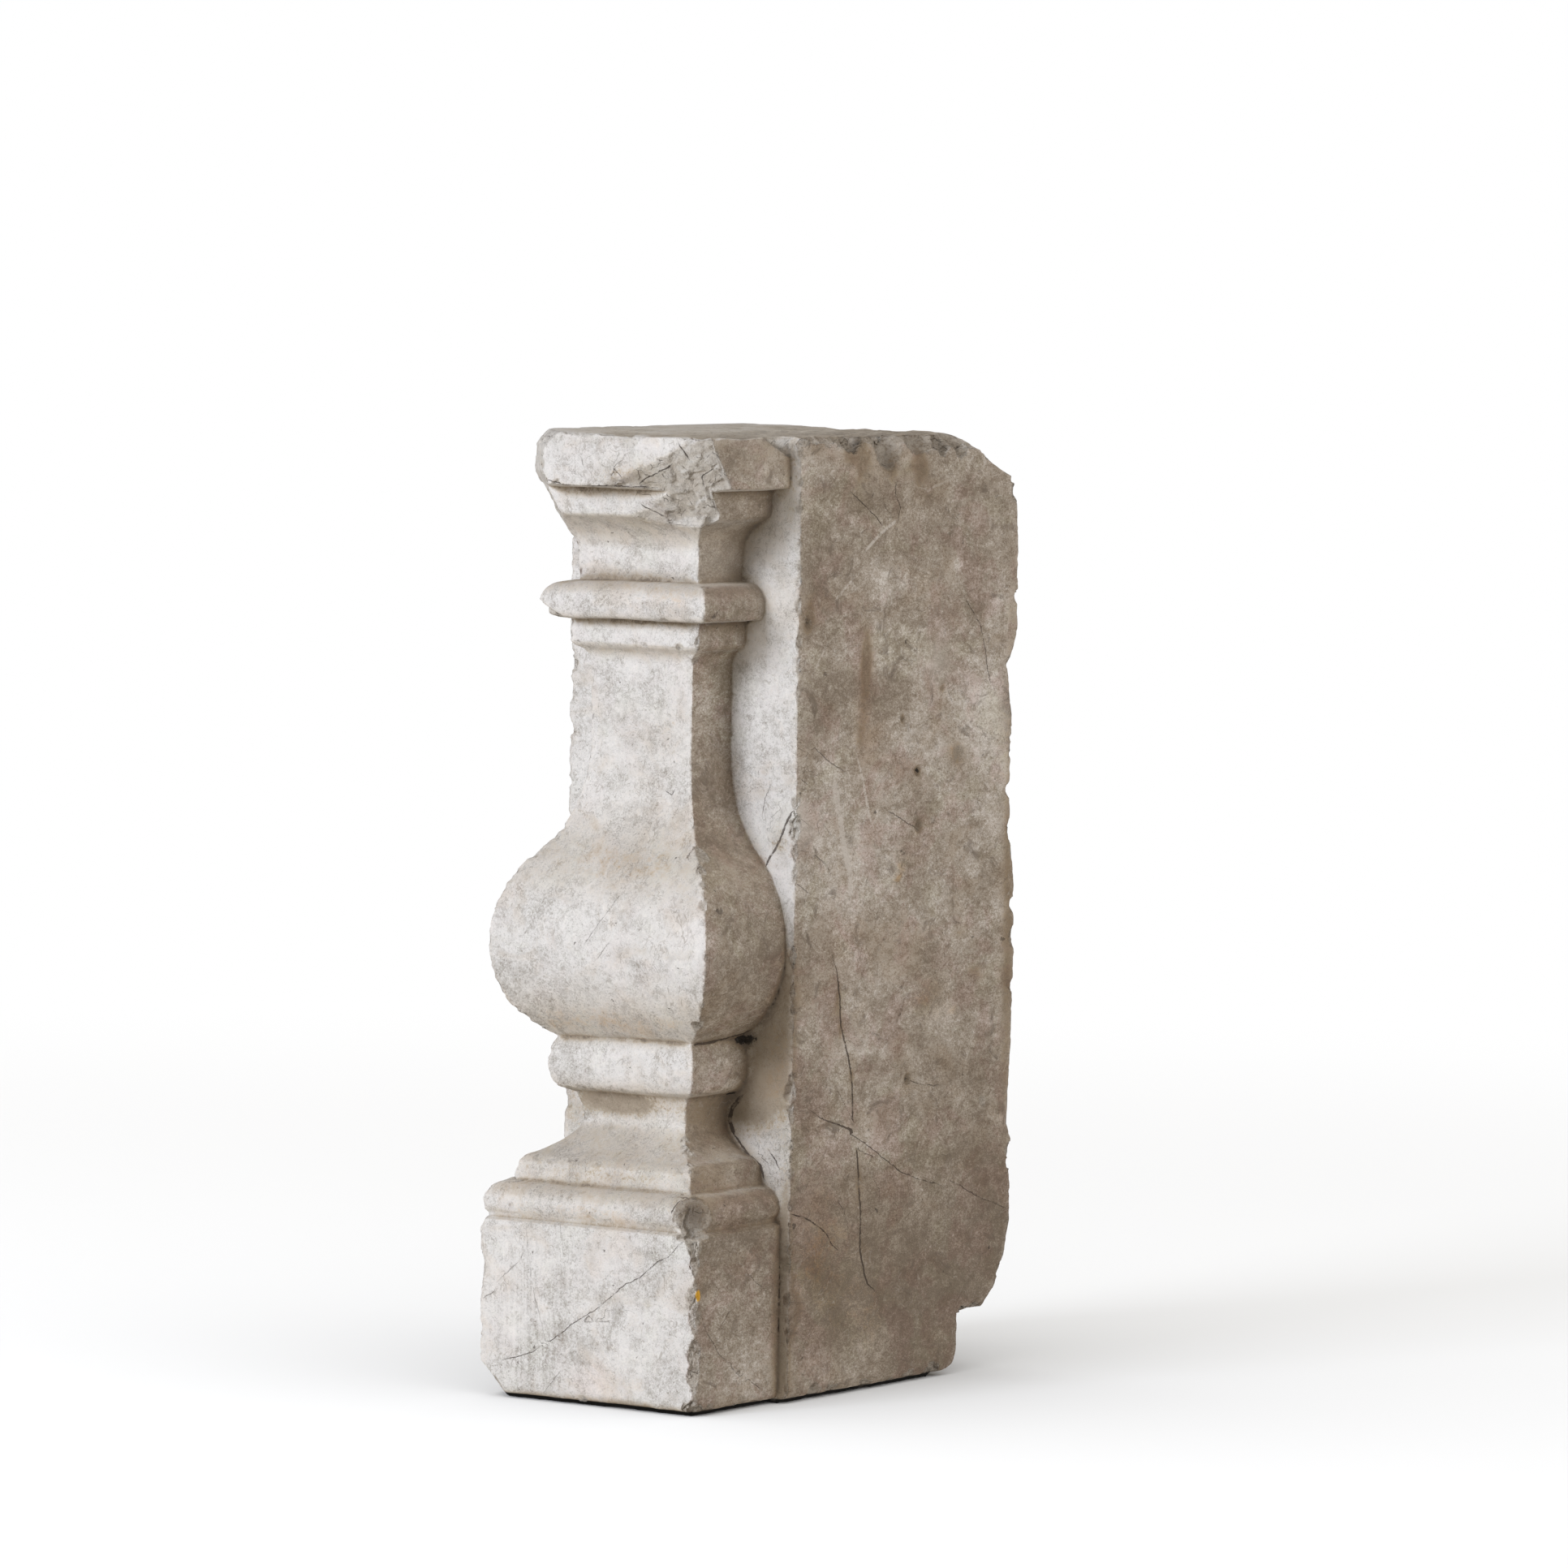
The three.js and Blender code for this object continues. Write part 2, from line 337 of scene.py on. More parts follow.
def lattice_noise(points, size, seed, layers=3, gain=0.5):
    """Noise from about -1 to 1 over points.

    Random numbers stand at the corners of cubes of the given size and are blended along each edge by
    3t^2 - 2t^3. Each further layer has cubes half as large and is weaker by the gain.
    """
    table = np.random.default_rng(seed).uniform(-1, 1, (64, 64, 64))
    total, weight, strength = 0.0, 0.0, 1.0
    for layer in range(layers):
        place = points * (2**layer / size) + 11.37 * (layer + 1)
        cell = np.floor(place).astype(np.int32)
        part = place - cell
        part = part * part * (3 - 2 * part)
        value = 0.0
        for corner in np.ndindex(2, 2, 2):
            near = np.where(corner, part, 1 - part)
            row, column, stack = np.moveaxis(cell + corner & 63, -1, 0)
            value = value + near[..., 0] * near[..., 1] * near[..., 2] * table[row, column, stack]
        total = total + strength * value
        weight += strength
        strength *= gain
    return total * (1.6 / weight)


def grid_normals(points):
    """Unit vectors out of the stone: the cross product of the steps along the columns and up the rows."""
    around = np.roll(points, -1, 1) - np.roll(points, 1, 1)
    normal = np.cross(around, np.gradient(points, axis=0))
    return normal / (np.linalg.norm(normal, axis=2, keepdims=True) + 1e-9)


def worn(points, amount, rounds):
    """Each round moves a point towards the mean of its four neighbours, along its normal and only
    inwards, so arrises round over while re-entrant corners stay sharp."""
    for _ in range(rounds):
        below = np.concatenate((points[:1], points[:-1]))
        above = np.concatenate((points[1:], points[-1:]))
        mean = (np.roll(points, 1, 1) + np.roll(points, -1, 1) + below + above) / 4
        normal = grid_normals(points)
        inward = np.minimum(((mean - points) * normal).sum(2), 0) * amount
        points = points + normal * inward[..., None]
    return points


def zone_share(points, zone, fade=2.5):
    """1 inside a zone's limits and 0 beyond them, fading over a few mm."""
    share = np.ones(points.shape[:-1])
    for name, limit in zone.items():
        axis = {"left": 0, "right": 0, "front": 1, "back": 1, "low": 2, "high": 2}[name]
        sign = 1 if name in ("left", "front", "low") else -1
        share = share * smooth_step(sign * (points[..., axis] - limit), 0, fade)
    return share


def unit(vector):
    """The vector over its own length."""
    vector = np.array(vector, float)
    return vector / np.linalg.norm(vector)


def facets(points, size, seed):
    """Broken stone: each point takes the plane of the nearest of some scattered centres.

    One centre stands at random in each cube of the given size, and its plane has a random height and
    slope. The result is about -1 to 1, with sharp steps and ridges between the planes.
    """
    table = np.random.default_rng(seed).uniform(-1, 1, (32, 32, 32, 7))
    place = points / size
    cell = np.floor(place).astype(int)
    nearest, height = np.full(points.shape[:-1], np.inf), np.zeros(points.shape[:-1])
    for step in np.ndindex(3, 3, 3):
        near = cell + np.array(step) - 1
        chance = table[tuple(np.moveaxis(near & 31, -1, 0))]
        offset = place - (near + 0.5 + 0.45 * chance[..., :3])
        distance = np.linalg.norm(offset, axis=-1)
        value = 0.45 * chance[..., 3] + 0.8 * (offset * chance[..., 4:]).sum(-1)
        height = np.where(distance < nearest, value, height)
        nearest = np.minimum(nearest, distance)
    return height


# The way that the breaks of the front left corner face, seen from above
LEFT_BREAK = (-0.75, -0.66)


def left_break(along, level, tilt, zone, rough):
    """A break of the front left corner, so many mm out from the centre line at its level."""
    return ((along * LEFT_BREAK[0], along * LEFT_BREAK[1], level), (*LEFT_BREAK, tilt), zone, rough)


# Breaks: a point of the plane, its outward direction, its limits, and how rough it is in mm
BREAKS = (
    ((11.6, -102, 669.5), (0.236, -0.801, -0.549), {"low": 636, "left": -12}, 1.9),
    ((0, -100.6, HEIGHT), (0, -0.7, 0.7), {"low": 690, "front": -110, "right": 60}, 1.6),
    ((94.3, -3, 686), (0.5, 0.35, 0.79), {"left": 50, "front": -50, "low": 664, "back": 1}, 1.4),
    ((-62, -74.5, 572), (-0.45, -0.25, -0.85), {"low": 565, "high": 583, "right": -45}, 1.2),
    left_break(106.5, 680, 0, {"low": 653, "right": -30}, 2.0),
    left_break(97.5, 701, 0.95, {"low": 678, "right": -25}, 2.0),
    left_break(100.6, 661, -0.51, {"low": 618, "high": 675, "right": -30}, 1.4),
    left_break(121, 0, -0.75, {"high": 36, "right": -50}, 1.8),
    ((84.5, -96.5, 146), (0.74, -0.66, 0.12), {"low": 127, "high": 160, "left": 64}, 3.0),
    ((104, 70, 699.5), (0.62, -0.05, 0.78), {"left": 70, "front": 34, "back": 108, "low": 680}, 2.6),
    ((104, 140, 700), (0.5, 0.1, 0.86), {"left": 60, "front": 100, "back": 240, "low": 680}, 2.6),
    ((104, 20, 701), (0.7, 0.0, 0.7), {"left": 80, "front": 6, "back": 60, "low": 685}, 1.6),
)


def broken_off(points, seed):
    """Points beyond each break's plane move back along its normal onto it, less some roughness: two
    sizes of facets and a little noise.

    Returns the points and how much each stands on a break.
    """
    fresh = np.zeros(points.shape[:-1])
    for number, (place, out, zone, rough) in enumerate(BREAKS):
        out = unit(out)
        beyond = (points - np.array(place, float)) @ out
        share = zone_share(points, zone)
        near = (beyond > -2 * rough) & (share > 0.01)
        part = points[near]
        broken = facets(part, 17, seed + number) + 0.3 * facets(part, 6, seed + 50 + number)
        broken = broken + 0.22 * lattice_noise(part, 5, seed + 90, 2)
        cut = np.maximum(beyond[near] + rough * (0.35 + 0.8 * broken), 0) * share[near]
        points[near] = part - out * cut[:, None]
        fresh[near] = np.maximum(fresh[near], smooth_step(cut, 0.2, 1.2))
    return points, fresh


def bitten(points, fresh, bites, seed):
    """Chips: a point inside a ball moves along the chip's direction to the ball's far side.

    A chip has a place on the stone, a depth, a length and a direction in. Its ball has the radius
    (length^2 / 4 + depth^2) / (2 depth) and dips below the place by the depth. With b the point's place
    along the direction from the ball's centre and c its squared distance less the radius squared, it
    moves by -b + sqrt(b^2 - c). Noise and facets make the ball uneven, and it fades beyond its length.
    """
    uneven = 0.5 * lattice_noise(points, 4, seed, 3, 0.6) + 0.45 * facets(points, 4.5, seed)
    level_low, level_high = points[..., 2].min(1), points[..., 2].max(1)
    for place, depth, length, direction in bites:
        direction = unit(direction)
        radius = (length**2 / 4 + depth**2) / (2 * depth)
        rows = np.flatnonzero((level_high > place[2] - length) & (level_low < place[2] + length))
        if not len(rows):
            continue
        low, high = rows[0], rows[-1] + 1
        part = points[low:high]
        near = np.linalg.norm(part - np.array(place, float), axis=2)
        offset = part - (np.array(place, float) - direction * (radius - depth))
        along = offset @ direction
        outside = (offset**2).sum(2) - (radius + 0.55 * depth * uneven[low:high]) ** 2
        move = np.where(outside < 0, np.sqrt(np.maximum(along**2 - outside, 0)) - along, 0)
        move = np.minimum(move, 2.2 * depth) * smooth_step(-near, -0.85 * length, -0.6 * length)
        points[low:high] = part + direction * move[..., None]
        fresh[low:high] = np.maximum(fresh[low:high], smooth_step(move, 0.1, 0.9))
    return points, fresh


def chip(rng, place, inward, small, large):
    """One random chip: small ones are commoner, and each is from two and a half to eight times as long
    as it is deep."""
    depth = small * (large / small) ** (rng.random() ** 1.8)
    tilt = 0.35 * rng.normal(size=3)
    return place, depth, depth * rng.uniform(2.5, 8), unit(inward) + tilt


def arris_chips(sizes, rng):
    """Small chips at random places along the arrises."""
    profile = baluster_profile(sizes)

    def baluster_corner(side):
        def place(level):
            width = half_width(level, profile)
            return side * width, -width - extra_reach(level)

        return place

    def block_back(level):
        return BLOCK_RIGHT, back_depth(level)

    def block_front(level):
        return BLOCK_RIGHT, 0.0

    def block_left(level):
        return -BLOCK_LEFT, 0.0

    # Place on the arris, lowest and highest level, chips, depths from and to, inward direction
    upright = (
        (baluster_corner(1), 4, 135, 44, 0.5, 4.5, (-1, 1, 0)),
        (baluster_corner(1), 265, 420, 46, 0.25, 2.2, (-1, 1, 0)),
        (baluster_corner(1), 160, 262, 24, 0.25, 1.6, (-1, 1, 0)),
        (baluster_corner(1), 420, 636, 46, 0.2, 1.0, (-1, 1, 0)),
        (baluster_corner(1), 640, 702, 14, 0.4, 2.5, (-1, 1, 0)),
        (baluster_corner(-1), 4, 160, 46, 0.5, 3.5, (1, 1, 0)),
        (baluster_corner(-1), 160, 640, 120, 0.3, 2.0, (1, 1, 0)),
        (baluster_corner(-1), 265, 420, 40, 0.3, 1.8, (1, 1, 0)),
        (block_front, 4, 702, 140, 0.4, 3.0, (-1, 1, 0)),
        (block_left, 4, 702, 110, 0.5, 4, (1, 1, 0)),
        (block_back, 48, 690, 70, 0.4, 4.5, (-1, -1, 0)),
    )
    chips = []
    for place, low, high, count, small, large, inward in upright:
        for level in rng.uniform(low, high, count):
            chips.append(chip(rng, (*place(level), level), inward, small, large))
    # Levels of the long horizontal arrises, how many chips, their depths and the way in
    for level, count, small, large, inward in (
        (1, 36, 0.5, 4, (0, 1, 1)),
        (158, 12, 0.2, 1.2, (0, 1, -1)),
        (174, 14, 0.2, 1.2, (0, 1, -1)),
        (664, 24, 0.4, 2.2, (0, 1, 1)),
        (HEIGHT, 36, 0.5, 3.5, (0, 1, -1)),
        (143, 12, 0.2, 0.9, (0, 1, 0)),
        (226, 14, 0.2, 1.2, (0, 1, 1)),
        (568, 14, 0.2, 1.4, (0, 1, 1)),
        (550, 12, 0.2, 1.0, (0, 1, 1)),
    ):
        width = half_width(level, profile)
        reach = width + extra_reach(level)
        for x in rng.uniform(-width, width, count):
            chips.append(chip(rng, (x, -reach, level), inward, small, large))
    # The block's foot, the foot of the plinth's right side, and the block's top and back lower edges
    for level, low, high, x, count, small, large, inward in (
        (1, 0, 203, BLOCK_RIGHT, 44, 0.6, 6, (-1, 0, 1)),
        (1, -108, 0, 95, 16, 0.6, 5, (-1, 0, 1)),
        (HEIGHT - 5, 0, 216, BLOCK_RIGHT - 2, 70, 1, 6, (-1, 0, -1)),
        (47, 222, 254, BLOCK_RIGHT, 8, 0.6, 4, (-1, 0, 1)),
    ):
        for y in rng.uniform(low, high, count):
            chips.append(chip(rng, (x, y, level), inward, small, large))
    return chips


# Chips and hollows with a place of their own: place, depth, length, direction into the stone
CHIPS = (
    ((56, -62, 551), 3.5, 12, (-1, 0.6, -0.5)), ((95, -106, 122), 5, 18, (-1, 0.8, 0)),
    ((95, -105, 112), 4, 10, (-1, 1, 0.2)), ((95, -104, 72), 2.5, 26, (-1, 0.5, 0)),
    ((95, -104, 45), 4.5, 26, (-1, 0.9, 0)), ((95, -104, 33), 4, 14, (-1, 1, 0)),
    ((95, -104, 2), 9, 26, (-1, 1, 0.8)), ((95, -98, 298), 3, 14, (-1, 1, 0)),
    ((94, -96, 286), 3, 10, (-1, 1, 0)), ((96, -100, 318), 1.6, 16, (-1, 1, 0)),
    ((104, -1, 419), 6, 26, (-1, 0.8, 0)), ((104, 0, 402), 3.5, 14, (-1, 1, 0)),
    ((104, 0, 385), 2.5, 18, (-1, 1, 0)), ((104, 0, 300), 2.5, 16, (-1, 1, 0)),
    ((104, 0, 232), 3, 26, (-1, 1, 0)), ((104, -1, 214), 4, 14, (-1, 1, 0)),
    ((100, 67, 696), 7, 20, (-1, 0, -0.8)), ((101, 100, 695), 4, 18, (-1, 0, -0.8)),
    ((101, 184, 692), 7, 20, (-1, 0, -0.8)), ((101, 208, 690), 6, 18, (-1, 0, -0.8)),
    ((101, 150, 693), 4, 24, (-1, 0, -0.8)), ((-40, -101, 661), 5, 14, (0.2, 1, 0.5)),
    ((-56, -100, 664), 7, 13, (0.3, 1, 0.6)), ((-96, -104, 50), 3, 12, (1, 0.6, 0)),
    ((-94, -104, 4), 8, 30, (1, 1, 0.9)), ((11, -103, 668), 4, 9, (0.1, 1, -0.3)),
    ((22, -104, 690), 2, 22, (0, 1, -0.4)), ((-70, -100, 690), 3, 20, (0.6, 1, -0.3)),
    ((-60, -103, 700), 3, 26, (0.2, 1, -1)), ((60, -98, 652), 4, 16, (-0.6, 1, 0.2)),
    ((30, -98, 646), 3, 18, (0, 1, 0.5)), ((104, 157, 453), 1.5, 9, (-1, 0, 0)),
    ((104, 160, 412), 1.5, 12, (-1, 0, 0)), ((104, 136, 492), 1, 7, (-1, 0, 0)),
    ((104, 12, 567), 1.2, 11, (-1, 0, 0)), ((104, 188, 513), 0.8, 9, (-1, 0, 0)),
    ((104, 150, 226), 1.5, 12, (-1, 0, 0)), ((104, 252, 202), 1, 12, (-1, 0, 0)),
    ((104, 179, 416), 1, 7, (-1, 0, 0)), ((104, 211, 464), 0.9, 20, (-1, 0, 0)),
    ((104, 215, 272), 1, 12, (-1, 0, 0)),
)


# How far the carver's lines run out of level, in mm: down to the left at the upper ring and the bulb's
# foot, up to the right at the step, down to the right on the top bed, and at random
LEFT_DROP, RIGHT_RISE, TOP_FALL, WANDER = 2.3, 3.0, 2.4, 0.5


def hand_carved(points):
    """Lines that the carver cut slightly out of level: the level drops towards the left end of the
    upper ring and the bulb's foot, rises towards the block on the step, and falls along the top."""
    x, y, z = np.moveaxis(points, 2, 0)
    left = np.clip(-x / 90, 0, 1)
    out = smooth_step(-y, 0, 20)
    drop = LEFT_DROP * left * (smooth_step(z, 545, 565) - smooth_step(z, 600, 630))
    drop = drop + LEFT_DROP * left * (smooth_step(z, 235, 262) - smooth_step(z, 290, 340))
    back_right = np.clip((x - 40) / 50, 0, 1) * np.clip((y + 110) / 110, 0, 1)
    rise = RIGHT_RISE * back_right * (smooth_step(z, 150, 172) - smooth_step(z, 180, 215))
    wander = WANDER * lattice_noise(points, 90, 3, 2)
    walls = (z > 0.5) & (z < HEIGHT - 0.5)
    tilt = TOP_FALL * smooth_step(z, 670, HEIGHT) * smooth_step(x, -60, 100)
    z = z + np.where(walls, (rise - drop + wander) * out, 0) - tilt
    return np.stack((x, y, z), 2)


def surface_roughness(points, normal, sizes, fresh):
    """How far each point stands proud, in mm: shallow waves and grain on dressed faces, and deep tool
    marks on the left, the back and the beds, which were never dressed."""
    x, y, z = np.moveaxis(points, 2, 0)
    hidden = smooth_step(-x, 80, 98) * smooth_step(-normal[..., 0], 0.3, 0.8) * smooth_step(y, -5, 12)
    hidden = np.maximum(hidden, smooth_step(normal[..., 1], 0.3, 0.8))
    beds = smooth_step(np.abs(normal[..., 2]), 0.8, 0.97) * ((z < 3) | (z > 690))
    hidden = np.maximum(hidden, 0.75 * beds)
    waves = 0.32 * lattice_noise(points, 42, 21, 2) + 0.12 * lattice_noise(points, 15, 27, 2)
    grain = sizes.grain / MM * lattice_noise(points, 7, 22, 4, 0.62)
    hewn = lattice_noise(points, 24, 23, 4, 0.62)
    rough = 0.9 * lattice_noise(points, 5, 24, 3, 0.6)
    return waves + grain + sizes.hewing / MM * hidden * hewn + fresh * 0.35 * rough


def carved_stone(sizes):
    """The grid of the finished stone in mm, with its fresh breaks as a share at each point."""
    rng = np.random.default_rng(sizes.seed)
    points = hand_carved(plain_stone(sizes))
    points, fresh = broken_off(points, sizes.seed)
    uneven = 0.75 + 0.5 * lattice_noise(points, 30, 5, 2) + 0.5 * lattice_noise(points, 7, 6, 2)
    amount = sizes.wear * uneven
    points = worn(points, np.clip(amount, 0.05, 1), sizes.wear_rounds)
    points, fresh = bitten(points, fresh, [*arris_chips(sizes, rng), *CHIPS], sizes.seed + 4)
    points = worn(points, 0.45 * (1 - 0.8 * fresh), 1)
    normal = grid_normals(points)
    points = points + normal * surface_roughness(points, normal, sizes, fresh)[..., None]
    low = np.array([-BLOCK_LEFT, node_low.y / MM - FRONT_Y, 0])
    high = np.array([BLOCK_RIGHT, BLOCK_DEPTH, HEIGHT])
    return np.clip(points, low, high), fresh


def placed(name, data):
    """An object of that name and data, in the scene."""
    item = bpy.data.objects.new(name, data)
    bpy.context.scene.collection.objects.link(item)
    return item


def in_frame(points):
    """From mm at the baluster's centre line to metres in the frame."""
    return (points + [AXIS_X, FRONT_Y, 0]) * MM


def grid_mesh(name, points, values):
    """A closed mesh from a grid whose columns join up, each end closed by a fan to one point."""
    rows, columns = points.shape[:2]
    index = np.arange(rows * columns).reshape(rows, columns)
    right = np.roll(index, -1, 1)
    quads = np.stack((index[:-1], right[:-1], right[1:], index[1:]), 2).reshape(-1, 4)
    foot, top = rows * columns, rows * columns + 1
    foot_fan = np.stack((right[0], index[0], np.full(columns, foot)), 1)
    top_fan = np.stack((index[-1], right[-1], np.full(columns, top)), 1)
    ends = np.stack((points[0].mean(0), points[-1].mean(0)))
    vertices = np.concatenate((points.reshape(-1, 3), ends))
    loops = np.concatenate((quads.ravel(), foot_fan.ravel(), top_fan.ravel())).astype(np.int32)
    sizes = np.concatenate((np.full(len(quads), 4), np.full(2 * columns, 3)))
    starts = np.concatenate(([0], np.cumsum(sizes)[:-1])).astype(np.int32)
    mesh = bpy.data.meshes.new(name)
    mesh.vertices.add(len(vertices))
    mesh.vertices.foreach_set("co", vertices.astype(np.float32).ravel())
    mesh.loops.add(len(loops))
    mesh.loops.foreach_set("vertex_index", loops)
    mesh.polygons.add(len(sizes))
    mesh.polygons.foreach_set("loop_start", starts)
    mesh.update(calc_edges=True)
    for key, value in values.items():
        put_attribute(mesh, key, np.concatenate((value.ravel(), [0, 0])))
    return mesh


def put_attribute(mesh, name, values):
    """Keeps one number for each of the mesh's points."""
    attribute = mesh.attributes.get(name) or mesh.attributes.new(name, "FLOAT", "POINT")
    attribute.data.foreach_set("value", np.ascontiguousarray(values, dtype=np.float32))


def thinned(mesh, name, triangles):
    """The mesh as an object with about that many triangles left, fewest where the stone is flat."""
    piece = placed(name, mesh)
    modifier = piece.modifiers.new("Thin", "DECIMATE")
    modifier.ratio = triangles / (2 * len(mesh.polygons))
    modifier.use_collapse_triangulate = True
    evaluated = piece.evaluated_get(bpy.context.evaluated_depsgraph_get())
    light = bpy.data.meshes.new_from_object(evaluated)
    piece.modifiers.clear()
    piece.data = light
    bpy.data.meshes.remove(mesh)
    light.name = name
    kept = np.clip(mesh_points(light), list(node_low), list(node_high))
    light.vertices.foreach_set("co", kept.astype(np.float32).ravel())
    light.shade_smooth()
    return piece


def mesh_points(mesh):
    """The mesh's points, in metres."""
    points = np.zeros(len(mesh.vertices) * 3, np.float32)
    mesh.vertices.foreach_get("co", points)
    return points.reshape(-1, 3).astype(float)


def mesh_normals(mesh):
    """The unit normals at the mesh's points."""
    normals = np.zeros(len(mesh.vertices) * 3, np.float32)
    mesh.vertices.foreach_get("normal", normals)
    return normals.reshape(-1, 3).astype(float)


def inside_stone(points, profile):
    """Whether points are inside the unworn stone less its breaks."""
    x, y, z = np.moveaxis(points, -1, 0)
    width = half_width(z, profile)
    inside = (np.abs(x) < width) & (y > -width - extra_reach(z)) & (y < 5)
    inside |= (x > -BLOCK_LEFT) & (x < BLOCK_RIGHT) & (y > 0) & (y < back_depth(z))
    inside &= (z > 0) & (z < HEIGHT)
    for place, out, zone, _ in BREAKS:
        beyond = (points - np.array(place, float)) @ unit(out)
        inside &= ~((beyond > 0) & (zone_share(points, zone) > 0.5))
    return inside


def stone_around(points, profile, radius, cell=3.0):
    """The share of stone in the cube of that half size round each point: about a half on a face, less
    on an arris and more in a hollow. The stone is sampled on cells, summed three ways and read between
    them."""
    margin = radius + 3 * cell
    low = np.array([-BLOCK_LEFT - margin, -110 - margin, -margin])
    high = np.array([BLOCK_RIGHT + margin, BLOCK_DEPTH + margin, HEIGHT + margin])
    axes = [np.arange(a, b, cell) for a, b in zip(low, high)]
    cells = inside_stone(np.stack(np.meshgrid(*axes, indexing="ij"), 3), profile).astype(np.float32)
    reach = max(1, int(round(radius / cell)))
    for axis in range(3):
        summed = np.cumsum(cells, axis=axis)
        count = np.arange(cells.shape[axis])
        ahead = np.take(summed, np.minimum(count + reach, count[-1]), axis)
        behind = np.take(summed, np.maximum(count - reach - 1, 0), axis)
        cells = (ahead - behind) / (2 * reach + 1)
    place = (points - low) / cell
    whole = np.clip(np.floor(place).astype(int), 0, np.array(cells.shape) - 2)
    part = place - whole
    total = 0.0
    for corner in np.ndindex(2, 2, 2):
        near = np.where(corner, part, 1 - part).prod(1)
        total = total + near * cells[tuple((whole + corner).T)]
    return total


# Cracks, hairlines and pale scratches, each a strength and its points: (x, z) on faces that look
# forwards and (y, z) on those that look right
PLINTH_CRACKS = (
    (0.8, ((-80, 26), (-65, 30), (-49, 35), (-38, 42), (-25, 49), (-11, 60), (11, 73), (35, 92),
           (47, 97), (61, 109), (74, 116), (81, 124), (90, 130))),
    (0.45, ((-11, 60), (3, 62), (23, 64))),
    (0.35, ((-80, 84), (-62, 99), (-55, 109))),
    (0.3, ((-54, 127), (-49, 87))),
    (0.35, ((-54, 109), (-46, 76), (-36, 43))),
    (0.25, ((-24, 131), (-20, 107))),
    (0.5, ((-93, 71), (-80, 78))),
    (0.4, ((-39, 6), (-23, 24))),
)
FLANK_CRACKS = (
    (0.5, ((-100, 78), (-92, 62), (-74, 43), (-39, 18))),
    (0.45, ((-63, 37), (-21, 12))),
    (0.5, ((-78, 60), (-61, 74))),
    (0.4, ((-41, 99), (-17, 83))),
)
BLOCK_CRACKS = (
    (0.8, ((63, 660), (84, 648), (97, 641), (108, 632))),
    (0.8, ((124, 667), (120, 658), (129, 648), (125, 636))),
    (0.8, ((215, 581), (224, 570), (238, 558), (245, 539), (248, 525), (255, 509))),
    (0.6, ((196, 510), (202, 502))),
    (0.6, ((0, 489), (22, 476), (39, 466), (63, 455))),
    (0.5, ((0, 456), (17, 448))),
    (0.7, ((116, 427), (147, 414), (162, 409))),
    (0.5, ((18, 401), (39, 391), (46, 381))),
    (0.5, ((0, 379), (21, 369))),
    (2.4, ((53, 322), (60, 290), (61, 273), (71, 250), (77, 231), (79, 196), (86, 172), (88, 153),
           (91, 132), (91, 104), (97, 87), (101, 79), (114, 71))),
    (0.8, ((20, 213), (52, 200), (77, 192), (108, 176), (146, 156), (203, 141))),
    (0.7, ((211, 147), (238, 133), (288, 118))),
    (1.4, ((0, 139), (25, 132), (44, 123), (56, 110), (66, 107))),
    (0.6, ((150, 226), (167, 219), (193, 218))),
)
FRONT_CRACKS = (
    (1.2, ((-52, 668), (-36, 664), (-18, 663), (0, 664), (17, 664), (42, 664))),
    (1.3, ((27, 666), (35, 671), (44, 674), (54, 679), (58, 682))),
    (1.6, ((68, 696), (70, 690), (72, 684))),
    (0.9, ((74, 666), (76, 673), (86, 679))),
    (0.9, ((8, 670), (11, 679), (17, 670))),
    (1.1, ((23, 651), (31, 647), (38, 643))),
    (0.8, ((49, 643), (54, 649))),
    (0.6, ((-19, 686), (-16, 677))),
    (1.2, ((76, 155), (73, 146))),
    (1.0, ((72, 157), (88, 156))),
    (0.5, ((12, 337), (0, 322))),
    (0.4, ((-11, 333), (17, 372))),
    (0.7, ((25, 444), (31, 441), (33, 446))),
)
STRIP_CRACKS = (
    (4.0, ((61, 222), (52, 214), (49, 203), (54, 192))),
    (2.4, ((54, 192), (61, 185), (68, 178), (77, 172), (81, 161))),
    (2.2, ((101, 431), (95, 421), (91, 412), (88, 405), (81, 395), (78, 388))),
    (0.6, ((81, 448), (76, 438), (75, 429))),
    (1.4, ((85, 183), (89, 178), (94, 171))),
)
SIDE_CRACKS = (
    (2.2, ((-68, 263), (-46, 263), (-26, 265), (-11, 267), (0, 270))),
)
FRONT_SCRATCHES = (
    (1.2, ((-29, 376), (-26, 373), (-21, 368), (-16, 374), (-10, 379))),
    (0.6, ((-52, 351), (-33, 350))),
    (0.5, ((-4, 394), (-2, 359))),
    (0.5, ((20, 300), (34, 345))),
)
SCRATCHES = (
    (3.2, ((46, 455), (55, 428), (62, 404), (70, 383), (72, 364))),
    (1.5, ((77, 468), (86, 447), (93, 426), (98, 411))),
    (1.1, ((48, 583), (69, 597))),
    (1.4, ((83, 616), (104, 629), (126, 639))),
    (0.8, ((16, 526), (38, 552))),
    (0.5, ((161, 657), (178, 664))),
    (0.5, ((214, 676), (227, 684))),
)


